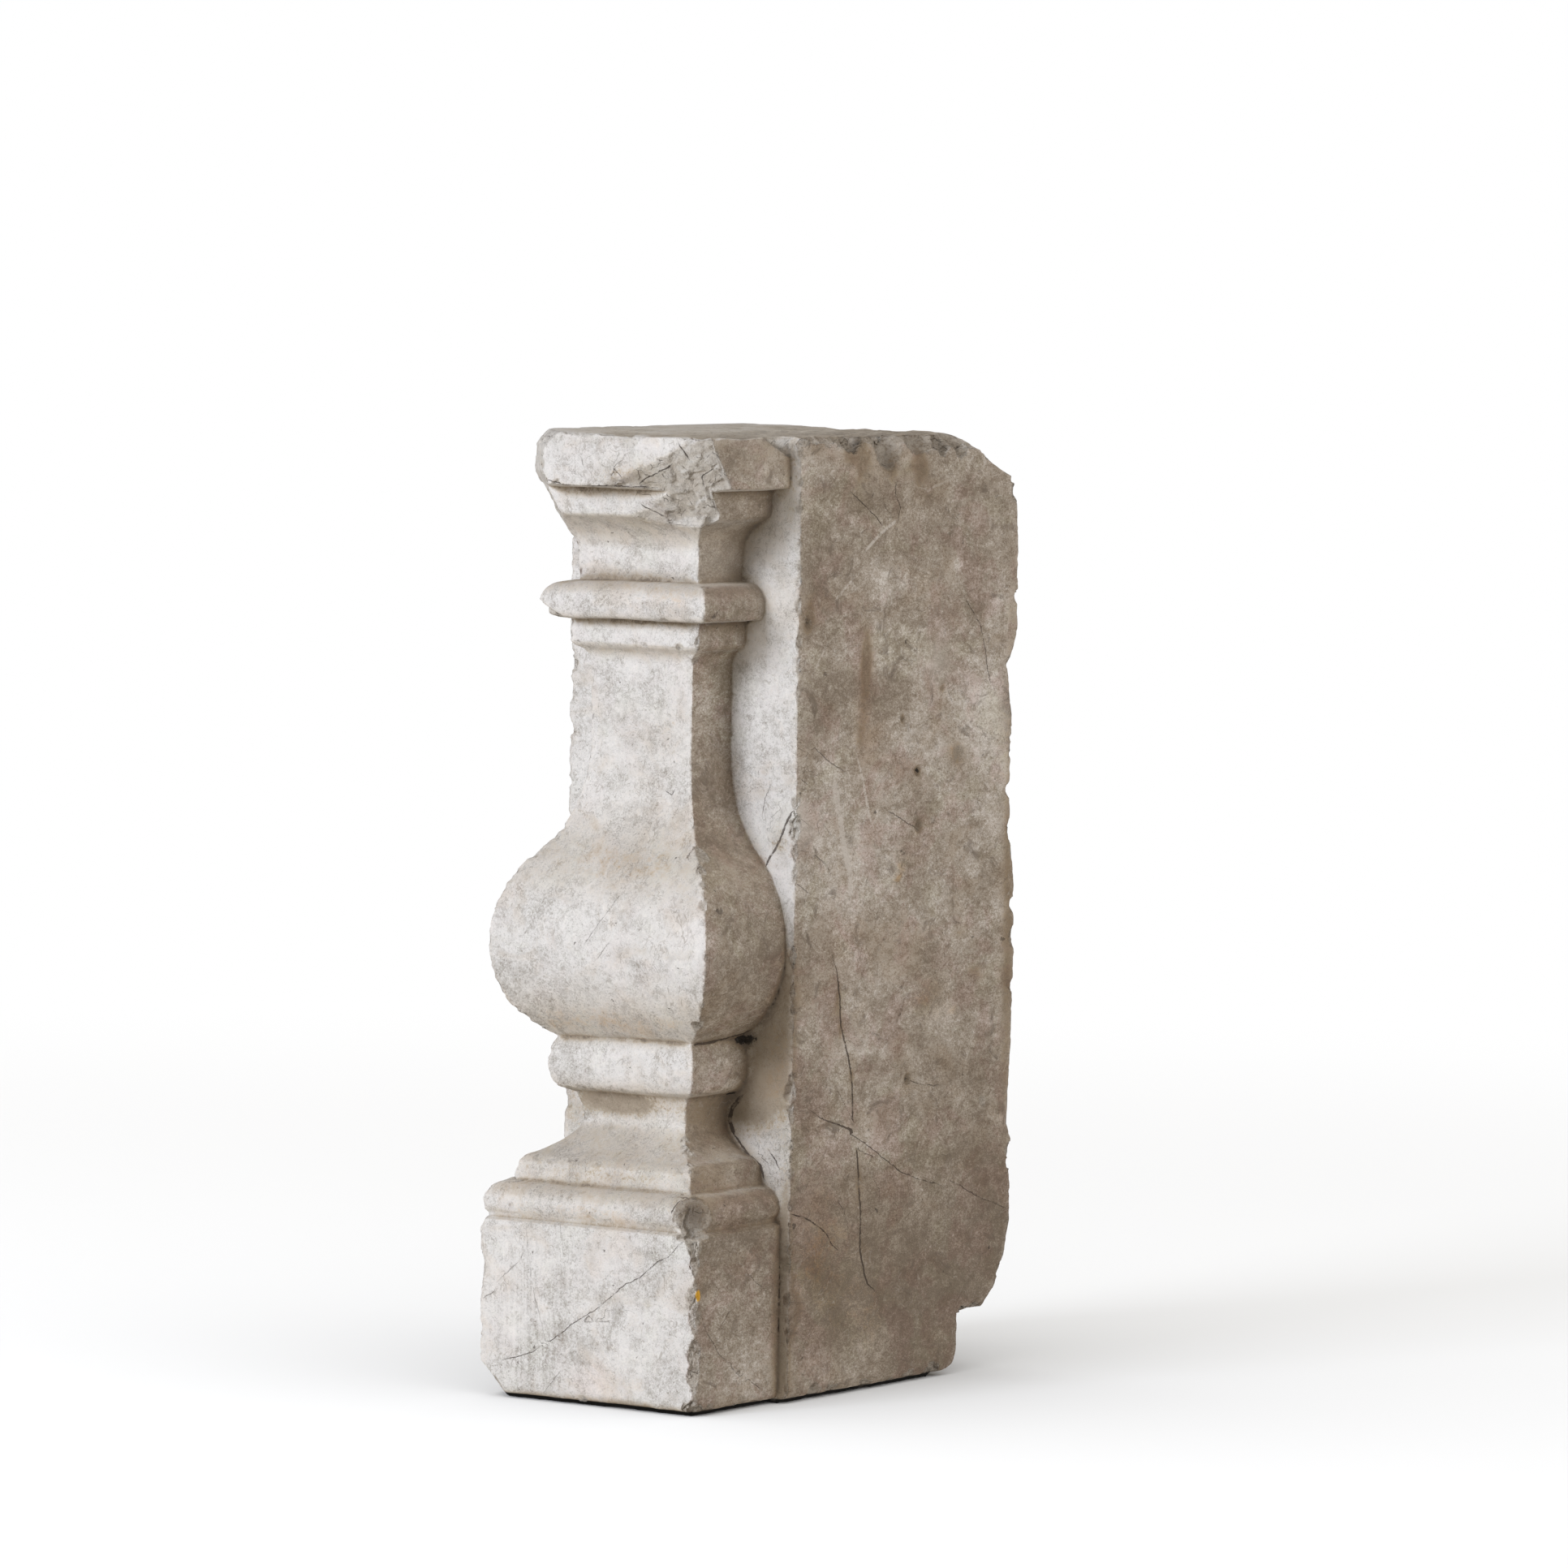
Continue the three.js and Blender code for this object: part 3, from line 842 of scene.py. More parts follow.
def nearest_line(flat, lines):
    """Signed distance to the nearest of some bent lines, and that line's strength there.

    The distance to a segment from a to b is that to the point a + t (b - a), with t kept from 0 to 1,
    and its sign is the side of the segment. The strength fades to nothing at both ends of a line, and
    beyond the reach. It is also the line's width where it is over 1.
    """
    best = np.full(len(flat), 1e3)
    side, strength = np.full(len(flat), 1e3), np.zeros(len(flat))
    for weight, line in lines:
        line = np.array(line, float)
        strides = np.linalg.norm(np.diff(line, axis=0), axis=1)
        length, run = strides.sum(), 0.0
        for a, b, stride in zip(line[:-1], line[1:], strides):
            ab, ap = b - a, flat - a
            t = (ap @ ab) / stride**2
            gap = ap - np.clip(t, 0, 1)[:, None] * ab
            distance = np.hypot(*gap.T)
            nearer = distance < best
            best = np.where(nearer, distance, best)
            sign = np.sign(ab[0] * ap[:, 1] - ab[1] * ap[:, 0])
            side = np.where(nearer, sign * distance, side)
            along = (run + t * stride) / length
            fade = smooth_step(along, -0.01, 0.08) * smooth_step(1 - along, -0.01, 0.08)
            strength = np.where(nearer, weight * fade, strength)
            run += stride
    return side, np.where(best < LINE_REACH, strength, 0)


def line_attributes(mesh, points, normal):
    """Signed distance and strength of the cracks and of the pale scratches, on the faces they cross."""
    x, y, z = points.T
    front = (normal[:, 1] < -0.5) & (z < 136)
    flank = (normal[:, 0] > 0.5) & (y < -1) & (z < 136)
    block = (normal[:, 0] > 0.5) & (x > 97) & (y > -0.5)
    carved = (normal[:, 1] < -0.2) & (z > 136) & (y < -20)
    strip = (normal[:, 1] < -0.2) & (x > 40) & (y > -12)
    carved_side = (normal[:, 0] > 0.2) & (z > 136) & (y < -1)
    for name, groups in (
        ("crack", (
            (front, (x, z), PLINTH_CRACKS),
            (flank, (y, z), FLANK_CRACKS),
            (block, (y, z), BLOCK_CRACKS),
            (carved_side, (y, z), SIDE_CRACKS),
            (carved, (x, z), FRONT_CRACKS),
            (strip, (x, z), STRIP_CRACKS),
        )),
        ("scratch", ((block, (y, z), SCRATCHES), (carved, (x, z), FRONT_SCRATCHES))),
    ):
        side, strength = np.full(len(points), LINE_LIMIT), np.zeros(len(points))
        for mask, flat, lines in groups:
            found, weight = nearest_line(np.stack(flat, 1), lines)
            side, strength = np.where(mask, found, side), np.where(mask, weight, strength)
        put_attribute(mesh, name + "_side", np.clip(side, -LINE_LIMIT, LINE_LIMIT))
        put_attribute(mesh, name + "_strength", strength)


# Spots, each a centre, half sizes and a strength: dark dirt with painted shade, brown stains, bleached
# places with painted light, black crust, places where the dirt and painted shade in hollows are lifted,
# yellow paint, rosy bloom, and the faces that show tool marks
# Soot: dark dirt, and painted shade beside the plinth and the bulb, under the abacus and on the top bed
SOOT_AND_SHADE = (
    ((70, -5, 640), (30, 14, 20), 0.35), ((97, -3, 660), (9, 8, 30), 0.3),
    ((80, -30, 690), (25, 30, 14), 0.5), ((56, -10, 598), (14, 16, 7), 0.6),
    ((94, 0, 290), (20, 6, 46), 1.05), ((63, -3, 263), (12, 12, 5), 1.3),
    ((84, 0, 236), (20, 5, 26), 0.6), ((90, 0, 408), (9, 5, 14), 0.5),
    ((90, -96, 146), (14, 12, 13), 1.0), ((58, -3, 224), (14, 10, 9), 0.7),
    ((66, 0, 210), (12, 6, 14), 0.45), ((-14, -50, 216), (40, 14, 10), 1.3),
    ((50, -24, 210), (14, 34, 16), 0.75), ((84, -60, 168), (14, 50, 14), 0.3),
    ((0, -92, 167), (110, 40, 9), 0.45), ((0, -104, 146), (110, 14, 12), 0.16),
    ((16, -50, 486), (30, 14, 20), 0.15), ((100, -3, 66), (16, 8, 84), 0.75),
    ((97, -2, 690), (6, 6, 16), 0.35), ((82, 0, 225), (22, 5, 36), 0.5),
    ((104, 10, 566), (4, 10, 9), 0.5), ((104, 90, 538), (4, 8, 16), 0.5),
    ((104, 98, 475), (4, 8, 20), 0.4), ((104, 136, 492), (4, 3, 4), 1.0),
    ((104, 157, 453), (4, 4, 4), 1.5), ((104, 160, 412), (4, 5, 6), 1.2),
    ((104, 188, 513), (4, 5, 4), 0.7), ((104, 211, 464), (4, 11, 11), 0.55),
    ((104, 12, 567), (4, 5, 6), 1.2), ((104, 18, 583), (4, 10, 7), 0.6),
    ((104, 88, 530), (5, 6, 30), 0.6), ((104, 81, 482), (5, 7, 14), 0.5),
    ((104, 68, 690), (5, 13, 10), 1.0), ((104, 80, 676), (5, 8, 14), 0.6),
    ((104, 116, 684), (5, 7, 13), 0.9), ((104, 154, 676), (5, 9, 16), 0.85),
    ((104, 124, 640), (5, 8, 20), 0.35), ((104, 72, 655), (5, 20, 12), 0.3),
    ((104, 142, 583), (4, 10, 10), 0.4), ((104, 72, 699), (6, 7, 5), 1.6),
    ((104, 150, 226), (4, 5, 6), 1.0), ((104, 20, 172), (4, 3, 10), 0.7),
    ((104, 60, 60), (4, 14, 40), 0.3), ((104, 120, 120), (4, 60, 60), 0.2),
    ((104, 110, 680), (5, 45, 16), 0.35), ((104, 84, 520), (5, 6, 40), 0.3),
    ((104, 26, 120), (5, 30, 60), 0.25), ((78, -90, 560), (10, 12, 8), 0.4),
    ((20, -50, 640), (26, 60, 9), 0.35), ((25, -100, 672), (34, 16, 12), 0.45),
    ((28, -50, 500), (22, 12, 40), 0.1), ((50, -80, 360), (60, 24, 40), 0.2),
    ((0, 60, HEIGHT + 2), (140, 190, 7), 0.4), ((104, 284, 380), (8, 12, 240), 0.7),
    ((100, 0, 62), (6, 3, 90), 0.9), ((-90, 0, 205), (18, 8, 26), 0.5),
    ((104, 58, 292), (5, 4, 12), 0.8), ((104, 62, 268), (5, 4, 8), 0.8),
    ((104, 76, 238), (5, 4, 14), 0.8), ((104, 80, 205), (5, 3, 16), 0.7),
    ((104, 88, 155), (5, 4, 16), 0.6), ((104, 238, 300), (5, 12, 6), 0.6),
    ((104, 215, 330), (5, 9, 6), 0.5), ((10, -60, 440), (50, 30, 30), 0.15),
)
RUST = (
    ((10, -80, 392), (50, 40, 14), 0.45), ((104, 189, 513), (4, 5, 5), 0.6),
    ((104, 132, 379), (4, 4, 8), 0.8), ((104, 206, 461), (4, 12, 12), 0.6),
    ((104, 180, 285), (4, 26, 20), 0.5), ((104, 215, 272), (4, 5, 4), 0.8),
    ((104, 84, 505), (5, 8, 44), 0.3), ((104, 132, 381), (5, 5, 7), 0.9),
    ((104, 142, 390), (5, 14, 20), 0.4), ((104, 40, 105), (5, 40, 50), 0.5),
    ((104, 110, 60), (5, 50, 40), 0.3), ((92, 0, 240), (16, 6, 46), 0.5),
    ((40, -75, 585), (50, 20, 14), 0.3), ((0, -90, 275), (90, 30, 12), 0.5),
    ((0, -106, 140), (100, 20, 8), 0.35),
)
# Pale: bleached places, and painted light on the top bed, the upper neck's side and the strip beside it
PALE_AND_LIT = (
    ((104, 182, 532), (4, 14, 15), 0.75), ((88, -50, 684), (12, 44, 20), 0.15),
    ((60, -30, 612), (18, 40, 26), 0.35), ((103, 0, 432), (6, 6, 12), 0.6),
    ((103, 3, 419), (6, 7, 12), 1.3), ((84, 0, 600), (16, 6, 40), 0.35),
    ((0, 40, HEIGHT + 2), (140, 190, 6), 0.9),
)
CRUST = (
    ((63, -3, 263), (11, 12, 4.5), 1.3), ((52, -4, 224), (9, 10, 3), 0.9),
    ((104, 157, 453), (4, 4, 3.5), 1.1), ((104, 160, 412), (4, 5, 5), 0.7),
    ((104, 12, 567), (4, 6, 5), 0.6), ((104, 150, 226), (4, 5, 5), 0.9),
    ((104, 66, 697), (6, 7, 5), 0.8), ((104, 116, 686), (5, 4, 5), 0.5),
    ((104, 179, 416), (4, 3, 3), 0.6), ((104, 195, 257), (4, 3, 3), 0.8),
    ((104, 252, 202), (4, 6, 3), 0.7),
)
# Places where the dirt and painted shade in hollows are lifted
LIFTED_HOLLOW_SHADE_AND_DIRT = (
    ((97, 0, 66), (12, 10, 90), 0.8), ((92, -2, 385), (20, 12, 50), 1.0),
    ((56, -4, 478), (28, 18, 76), 1.2), ((56, -20, 606), (20, 40, 18), 0.9),
)
PAINT = (
    ((95.6, -102, 88), (2.6, 3.5, 5), 1.4),
)
PINK = (
    ((2, -104, 18), (18, 10, 14), 0.5), ((104, 85, 505), (5, 12, 50), 0.7),
    ((104, 60, 330), (5, 26, 30), 0.5),
)
TOOLED = (
    ((-55, -105, 70), (30, 12, 60), 1.0), ((-20, -100, 147), (90, 14, 9), 0.4),
    ((0, -104, 60), (120, 14, 90), 0.2),
)


def soft_spots(points, spots):
    """The sum of soft spots: strength times e to the minus squared distance in half sizes."""
    total = np.zeros(len(points))
    for centre, half, strength in spots:
        distance = (points - np.array(centre, float)) / np.array(half, float)
        total += strength * np.exp(-(distance**2).sum(1))
    return total


def mark_stone(mesh, sizes):
    """Puts what the finish needs on the mesh: hollows, arrises, cracks, scratches and stains, and the
    places of painted shade and light.
    """
    points = mesh_points(mesh) / MM - [AXIS_X, FRONT_Y, 0]
    normal = mesh_normals(mesh)
    profile = baluster_profile(sizes)
    x, y, z = points.T
    out_x, _, out_z = normal.T
    block = smooth_step(y, -3, 1) * smooth_step(x, 90, 99)
    marks = {
        # Shares of stone round each point, for dirt and painted shade in hollows and for rubbed arrises
        "hollow": stone_around(points, profile, 9) - 0.5,
        "crease": stone_around(points, profile, 4, 2.0) - 0.5,
        "shelter": stone_around(points, profile, 27, 4.5) - 0.5,
        # Faces that look right, away from the key light: their patina and painted shade
        "right_side": smooth_step(out_x, 0.1, 0.7),
        "block": block,
        "low_side": smooth_step(out_x, 0.3, 0.8) * smooth_step(-z, -260, -20) * block,
        "ledge": smooth_step(out_z, 0.2, 0.75) * smooth_step(-z, -690, -640),
        # Faces that look down, for the painted warm shade under mouldings
        "under": smooth_step(-out_z, 0.1, 0.75),
        # The lowest few mm, painted black as the shadow in the gap under the foot
        "foot": smooth_step(-z, -4.2, -2.8),
        "soot_and_shade": soft_spots(points, SOOT_AND_SHADE),
        "rust": soft_spots(points, RUST),
        "pale": soft_spots(points, PALE_AND_LIT),
        "lifted_hollow_shade_and_dirt": soft_spots(points, LIFTED_HOLLOW_SHADE_AND_DIRT),
        "crust": soft_spots(points, CRUST),
        "paint": soft_spots(points, PAINT),
        "pink": soft_spots(points, PINK),
        "tooled": soft_spots(points, TOOLED),
    }
    for name, values in marks.items():
        put_attribute(mesh, name, values)
    line_attributes(mesh, points, normal)


class Finish:
    """A material's nodes, added and joined one after another."""

    def __init__(self, name):
        self.material = bpy.data.materials.new(name)
        self.material.use_nodes = True
        self.tree = self.material.node_tree
        self.tree.nodes.clear()

    def add(self, kind, inputs=(), **settings):
        node = self.tree.nodes.new(kind)
        for name, value in settings.items():
            setattr(node, name, value)
        for name, value in dict(inputs).items():
            self.set(node.inputs[name], value)
        return node

    def set(self, socket, value):
        if isinstance(value, bpy.types.NodeSocket):
            self.tree.links.new(value, socket)
        elif value is not None:
            socket.default_value = value

    def math(self, operation, a, b=None, c=None, clamp=False):
        node = self.add("ShaderNodeMath", {0: a, 1: b, 2: c}, operation=operation, use_clamp=clamp)
        return node.outputs[0]

    def vector_math(self, operation, inputs):
        return self.add("ShaderNodeVectorMath", inputs, operation=operation).outputs[0]

    def times(self, a, b, clamp=False):
        return self.math("MULTIPLY", a, b, clamp=clamp)

    def plus(self, a, b, clamp=False):
        return self.math("ADD", a, b, clamp=clamp)

    def less(self, a, b, clamp=False):
        return self.math("SUBTRACT", a, b, clamp=clamp)

    def value(self, name):
        """What the mesh's attribute of that name says."""
        return self.add("ShaderNodeAttribute", attribute_name=name).outputs["Fac"]

    def scaled(self, vector, scale, turn=(0, 0, 0)):
        node = self.add("ShaderNodeMapping", {"Vector": vector, "Scale": scale, "Rotation": turn})
        return node.outputs["Vector"]

    def noise(self, vector, size, detail=4, roughness=0.6, distortion=0.0):
        """Noise about 0 to 1 with marks of that size in mm."""
        inputs = {"Vector": vector, "Scale": 1 / (size * MM), "Detail": detail, "Roughness": roughness}
        return self.add("ShaderNodeTexNoise", {**inputs, "Distortion": distortion}).outputs["Fac"]

    def wandered(self, vector, size, reach):
        """The place moved about by up to that far, in metres, each way."""
        node = self.add("ShaderNodeTexNoise", {"Vector": vector, "Scale": 1 / (size * MM), "Detail": 2})
        centred = self.vector_math("SUBTRACT", {0: node.outputs["Color"], 1: (0.5, 0.5, 0.5)})
        move = self.vector_math("SCALE", {0: centred, "Scale": 4 * reach})
        return self.vector_math("ADD", {0: vector, 1: move})

    def weighted(self, *parts):
        """The sum of each noise less a half, times its weight."""
        total = None
        for value, weight in parts:
            part = self.times(self.less(value, 0.5), weight)
            total = part if total is None else self.plus(total, part)
        return total

    def colours(self, value, stops):
        """The colour at a value, blended between stops of a position and a colour."""
        node = self.add("ShaderNodeValToRGB", {"Fac": value})
        ramp = node.color_ramp
        while len(ramp.elements) < len(stops):
            ramp.elements.new(0.5)
        for element, (position, colour) in zip(ramp.elements, stops):
            element.position = position
            element.color = rgba(colour)
        return node.outputs["Color"]

    def ramp(self, value, low, high, bottom=0.0, top=1.0):
        inputs = {"Value": value, "From Min": low, "From Max": high, "To Min": bottom, "To Max": top}
        node = self.add("ShaderNodeMapRange", inputs, interpolation_type="SMOOTHSTEP")
        return node.outputs["Result"]

    def coat(self, share, colour, over):
        """The colour with a plain one laid over it by that share."""
        return self.blend(share, colour, rgba(over))

    def glaze(self, share, colour, tint):
        """The colour multiplied by a tint, by that share."""
        return self.blend(share, colour, rgba(tint), "MULTIPLY")

    def finished(self, shader):
        """The material, with that shader on its surface."""
        self.add("ShaderNodeOutputMaterial", {"Surface": shader.outputs[0]})
        return self.material

    def glow(self, colour, strength=1.0):
        return self.add("ShaderNodeEmission", {"Color": rgba(colour), "Strength": strength})

    def blend(self, factor, a, b, how="MIX"):
        node = self.add("ShaderNodeMix", data_type="RGBA", blend_type=how)
        for socket, value in zip((node.inputs[0], node.inputs[6], node.inputs[7]), (factor, a, b)):
            self.set(socket, value)
        return node.outputs[2]


def rgba(colour):
    return (*colour, 1.0)


def limestone(finish):
    """Weathered limestone on Object coordinates.

    One tone, the weighted sum of noises from broad to fine, picks a colour between grey and the palest
    stone, and on the faces that look right between brown and buff, a browner patina with painted shade.
    Blooms of other hues, dirt and painted shade in hollows, painted warm shade under mouldings, strokes,
    dots, cracks, scratches, stains, spots of painted shade and light, and a painted shadow under the foot
    lie over it. Marks are longer along y, where the place is scaled by 0.6, because the camera sees the
    side at a slant.
    """
    f = Finish("limestone")
    place = f.scaled(f.add("ShaderNodeTexCoord").outputs["Object"], (1, 0.6, 1))
    hollow, shelter = f.value("hollow"), f.value("shelter")
    side, fresh = f.value("right_side"), f.value("fresh")

    # Noises from broad to fine, each with the size of its marks in mm
    broad = f.noise(place, 70, 3, 0.55)
    middle = f.noise(place, 21, 5, 0.68, 0.4)
    small = f.noise(place, 6, 5, 0.72, 0.5)
    fine = f.noise(place, 1.7, 3, 0.75)
    grit = f.noise(place, 0.8, 2, 0.6)
    runs = f.noise(f.scaled(place, (1, 1, 0.75)), 26, 5, 0.66, 0.4)
    tooling = f.noise(f.scaled(place, (1, 1, 0.03), (0, 0.07, 0)), 2.6, 2, 0.5)

    # The tone, and the colour that it picks
    tone = f.weighted((broad, 0.3), (middle, 0.42), (small, 0.42), (fine, 0.5), (grit, 0.4))
    side_tone = f.times(f.weighted((runs, 0.5), (broad, 0.7), (small, 0.5), (fine, 0.4), (grit, 0.3)), side)
    side_tone = f.less(side_tone, f.times(f.value("low_side"), 0.26))
    side_tone = f.plus(side_tone, f.times(f.value("block"), f.times(side, 0.16)))
    tool_share = f.times(f.value("tooled"), f.weighted((tooling, 0.38)))
    tone = f.plus(f.plus(tone, 0.5), f.plus(side_tone, tool_share))
    # Lit and shaded colours: the faces that look right take the shaded ones, a patina with painted shade
    lit = ((0.22, finish.soil), (0.40, finish.grey), (0.5, finish.pale), (0.72, finish.chalk))
    shaded = ((0.05, finish.soil), (0.36, finish.brown), (0.62, finish.buff), (1.0, finish.chalk))
    colour = f.blend(side, f.colours(tone, lit), f.colours(tone, shaded))

    # Blooms of other hues, painted warm shade under mouldings, and rust
    hues = f.noise(place, 38, 4, 0.62, 0.6)
    other_hues = f.noise(f.scaled(place, (1, 1, 0.7), (0, 0, 0.6)), 30, 4, 0.65, 0.6)
    warm_share = f.times(f.ramp(hues, 0.5, 0.68), 0.38)
    colour = f.glaze(warm_share, colour, finish.warm)
    plum_share = f.times(f.ramp(other_hues, 0.48, 0.62), f.math("MULTIPLY_ADD", side, 0.7, 0.15))
    colour = f.glaze(plum_share, colour, PLUM)
    green_share = f.times(f.ramp(hues, 0.48, 0.36), f.math("MULTIPLY_ADD", side, 0.4, 0.3))
    colour = f.glaze(green_share, colour, MOSS)
    # Painted warm shade on the faces that look down
    under = f.times(f.value("under"), f.ramp(middle, 0.3, 0.6, 0.5, 1))
    colour = f.glaze(f.times(under, 0.6), colour, WARM_UNDERSIDE_SHADE)
    rust = f.plus(f.value("rust"), f.weighted((middle, 1.0), (small, 1.2), (fine, 0.6)))
    rust = f.times(f.ramp(rust, 0.2, 0.9), f.ramp(f.value("rust"), 0.02, 0.25), clamp=True)
    colour = f.glaze(rust, colour, RUSTED)
    colour = f.glaze(f.times(f.value("pink"), 0.7, clamp=True), colour, ROSY)

    # Soot with painted shade, dirt and painted shade in the hollows, black crust, and specks and blots in
    # patches
    grained = f.plus(f.weighted((small, 0.7), (fine, 0.45), (grit, 0.3)), 0.5)
    # Soot in clumps, with painted shade in the same spots
    clumps = f.plus(f.value("soot_and_shade"), f.weighted((small, 1.5), (fine, 1.1), (grit, 0.6)))
    soot_and_shade = f.times(f.ramp(clumps, 0.3, 0.95), f.ramp(f.value("soot_and_shade"), 0.02, 0.3))
    soot_and_shade = f.plus(soot_and_shade, f.times(f.value("soot_and_shade"), 0.35), clamp=True)
    # Dirt and painted shade in hollows, creases and sheltered places, from the share of stone round each
    # point; on ledges, dirt alone
    shade_and_dirt_in_hollows = f.plus(f.ramp(hollow, 0.02, 0.26, 0, 0.6), f.ramp(shelter, 0.05, 0.35, 0, 0.15))
    shade_and_dirt_in_hollows = f.plus(shade_and_dirt_in_hollows, f.ramp(f.value("crease"), 0.06, 0.24, 0, 0.75))
    # Less dirt and painted shade where it is lifted
    shade_and_dirt_in_hollows = f.times(shade_and_dirt_in_hollows, f.less(1.0, f.value("lifted_hollow_shade_and_dirt"), clamp=True))
    shade_and_dirt_in_hollows = f.plus(shade_and_dirt_in_hollows, f.times(f.value("ledge"), 0.4))
    shade_and_dirt_in_hollows = f.times(shade_and_dirt_in_hollows, f.ramp(middle, 0.3, 0.62, 0.4, 1))
    shade_and_dirt_in_hollows = f.times(shade_and_dirt_in_hollows, f.ramp(grained, 0.36, 0.6, 0.4, 1.15))
    # Dirt and painted shade, with a warm tint and then the soil colour
    dirt = f.plus(f.times(soot_and_shade, 0.6), f.times(shade_and_dirt_in_hollows, 0.8), clamp=True)
    tinted_shade_and_dirt = f.times(f.plus(soot_and_shade, shade_and_dirt_in_hollows), 1.5, clamp=True)
    colour = f.glaze(tinted_shade_and_dirt, colour, finish.tint)
    colour = f.coat(dirt, colour, finish.soil)
    deep = f.ramp(f.plus(f.value("crust"), f.weighted((small, 1.4), (fine, 0.6))), 0.6, 0.8)
    colour = f.coat(deep, colour, finish.crust)
    patches = f.ramp(f.noise(place, 38, 6, 0.72, 1.0), 0.5, 0.6)
    peppered = f.times(f.ramp(grained, 0.5, 0.62), patches)
    colour = f.coat(f.times(peppered, f.math("MULTIPLY_ADD", side, 0.15, 0.32)), colour, PEPPER)
    blots = f.ramp(f.noise(f.scaled(place, (1, 1, 0.75), (0.9, 0, 0)), 17, 6, 0.75, 1.1), 0.55, 0.66)
    blots = f.times(blots, f.ramp(grained, 0.4, 0.58, 0.35, 1))
    blots = f.times(blots, f.math("MULTIPLY_ADD", side, 0.6, 0.2))
    colour = f.coat(blots, colour, BLOT)

    # Dark strokes, pale grazes, dark dots and pale flecks
    layers = ((2.6, 0.1, 11, 0.7), (5.5, 0.05, 15, 1.0), (12, 0.02, 26, 1.0))
    strokes = f.times(stroke_marks(f, place, layers), f.ramp(fine, 0.35, 0.6, 0.45, 1))
    colour = f.coat(f.times(strokes, 0.5), colour, STROKE)
    turned = f.scaled(place, (1, 0.8, 0.5), (0.5, 0.2, 0))
    grazes = stroke_marks(f, turned, ((6, 0.02, 14, 0.6), (9, 0.014, 20, 0.6)))
    colour = f.coat(f.times(grazes, 0.25), colour, GRAZE)
    dots = dot_marks(f, place, 7, 0.86, 0.16)
    long_dots = dot_marks(f, f.scaled(place, (1, 1, 0.7), (0.3, 0, 0)), 10, 0.74, 0.2)
    long_dots = f.times(long_dots, f.ramp(middle, 0.56, 0.44, 0.2, 1))
    dots = f.math("MAXIMUM", dots, f.times(long_dots, side))
    colour = f.coat(f.times(dots, 0.75), colour, DOT)
    flecks = f.times(dot_marks(f, f.scaled(place, (1, 1, 1), (0.7, 0.2, 0)), 6, 0.8, 0.2), side)
    colour = f.coat(f.times(flecks, 0.25), colour, FLECK)

    # Rubbed arrises, and fresh breaks with their crevices
    edge = f.times(f.ramp(hollow, -0.12, -0.26), f.ramp(grained, 0.4, 0.6, 0.1, 1))
    colour = f.coat(f.times(edge, f.math("MULTIPLY_ADD", side, -0.22, 0.4)), colour, RUBBED_EDGE)
    gaps = {"Vector": f.wandered(place, 9, 0.003), "Scale": 1 / (13 * MM)}
    gaps = f.add("ShaderNodeTexVoronoi", gaps, feature="DISTANCE_TO_EDGE").outputs["Distance"]
    crevice = f.times(f.ramp(gaps, 0.03, 0.0), f.ramp(fresh, 0.35, 0.9))
    crevice = f.times(crevice, f.ramp(f.noise(place, 11, 3), 0.5, 0.62))
    clean = f.times(f.less(fresh, f.value("soot_and_shade"), clamp=True), f.ramp(grained, 0.35, 0.6, 0.15, 0.6))
    colour = f.coat(clean, colour, FRESH_BREAK)
    colour = f.coat(f.times(crevice, 0.7), colour, CREVICE)
    # Bleached places and painted light, laid on where the pale spots are
    colour = f.coat(f.times(f.value("pale"), 0.55, clamp=True), colour, BLEACHED_AND_LIT)

    # Cracks and scratches, whose lines waver, then the paint and the painted shadow under the foot
    waver = f.times(f.weighted((small, 0.8), (middle, 0.5)), 4)
    crack_gap = f.math("ABSOLUTE", f.plus(f.value("crack_side"), waver))
    crack_gap = f.math("DIVIDE", crack_gap, f.math("MAXIMUM", f.value("crack_strength"), 1.0))
    crack = f.times(f.ramp(crack_gap, 0.45, 0.08), f.value("crack_strength"), clamp=True)
    crack = f.times(crack, f.ramp(f.noise(place, 8, 3), 0.36, 0.5, 0.3, 1.2), clamp=True)
    scratch_gap = f.math("ABSOLUTE", f.plus(f.value("scratch_side"), f.times(waver, 0.4)))
    scratch_gap = f.math("DIVIDE", scratch_gap, f.math("MAXIMUM", f.value("scratch_strength"), 1.0))
    scratch = f.times(f.ramp(scratch_gap, 1.4, 0.3), f.value("scratch_strength"))
    scratch = f.times(scratch, f.ramp(grained, 0.4, 0.55, 0.2, 1), clamp=True)
    colour = f.coat(f.times(scratch, 0.75), colour, SCRATCHED)
    colour = f.coat(f.times(crack, 0.85), colour, CRACKED)
    colour = f.coat(f.ramp(f.value("paint"), 0.5, 0.9), colour, YELLOW_PAINT)
    colour = f.coat(f.value("foot"), colour, PAINTED_FOOT_SHADOW)

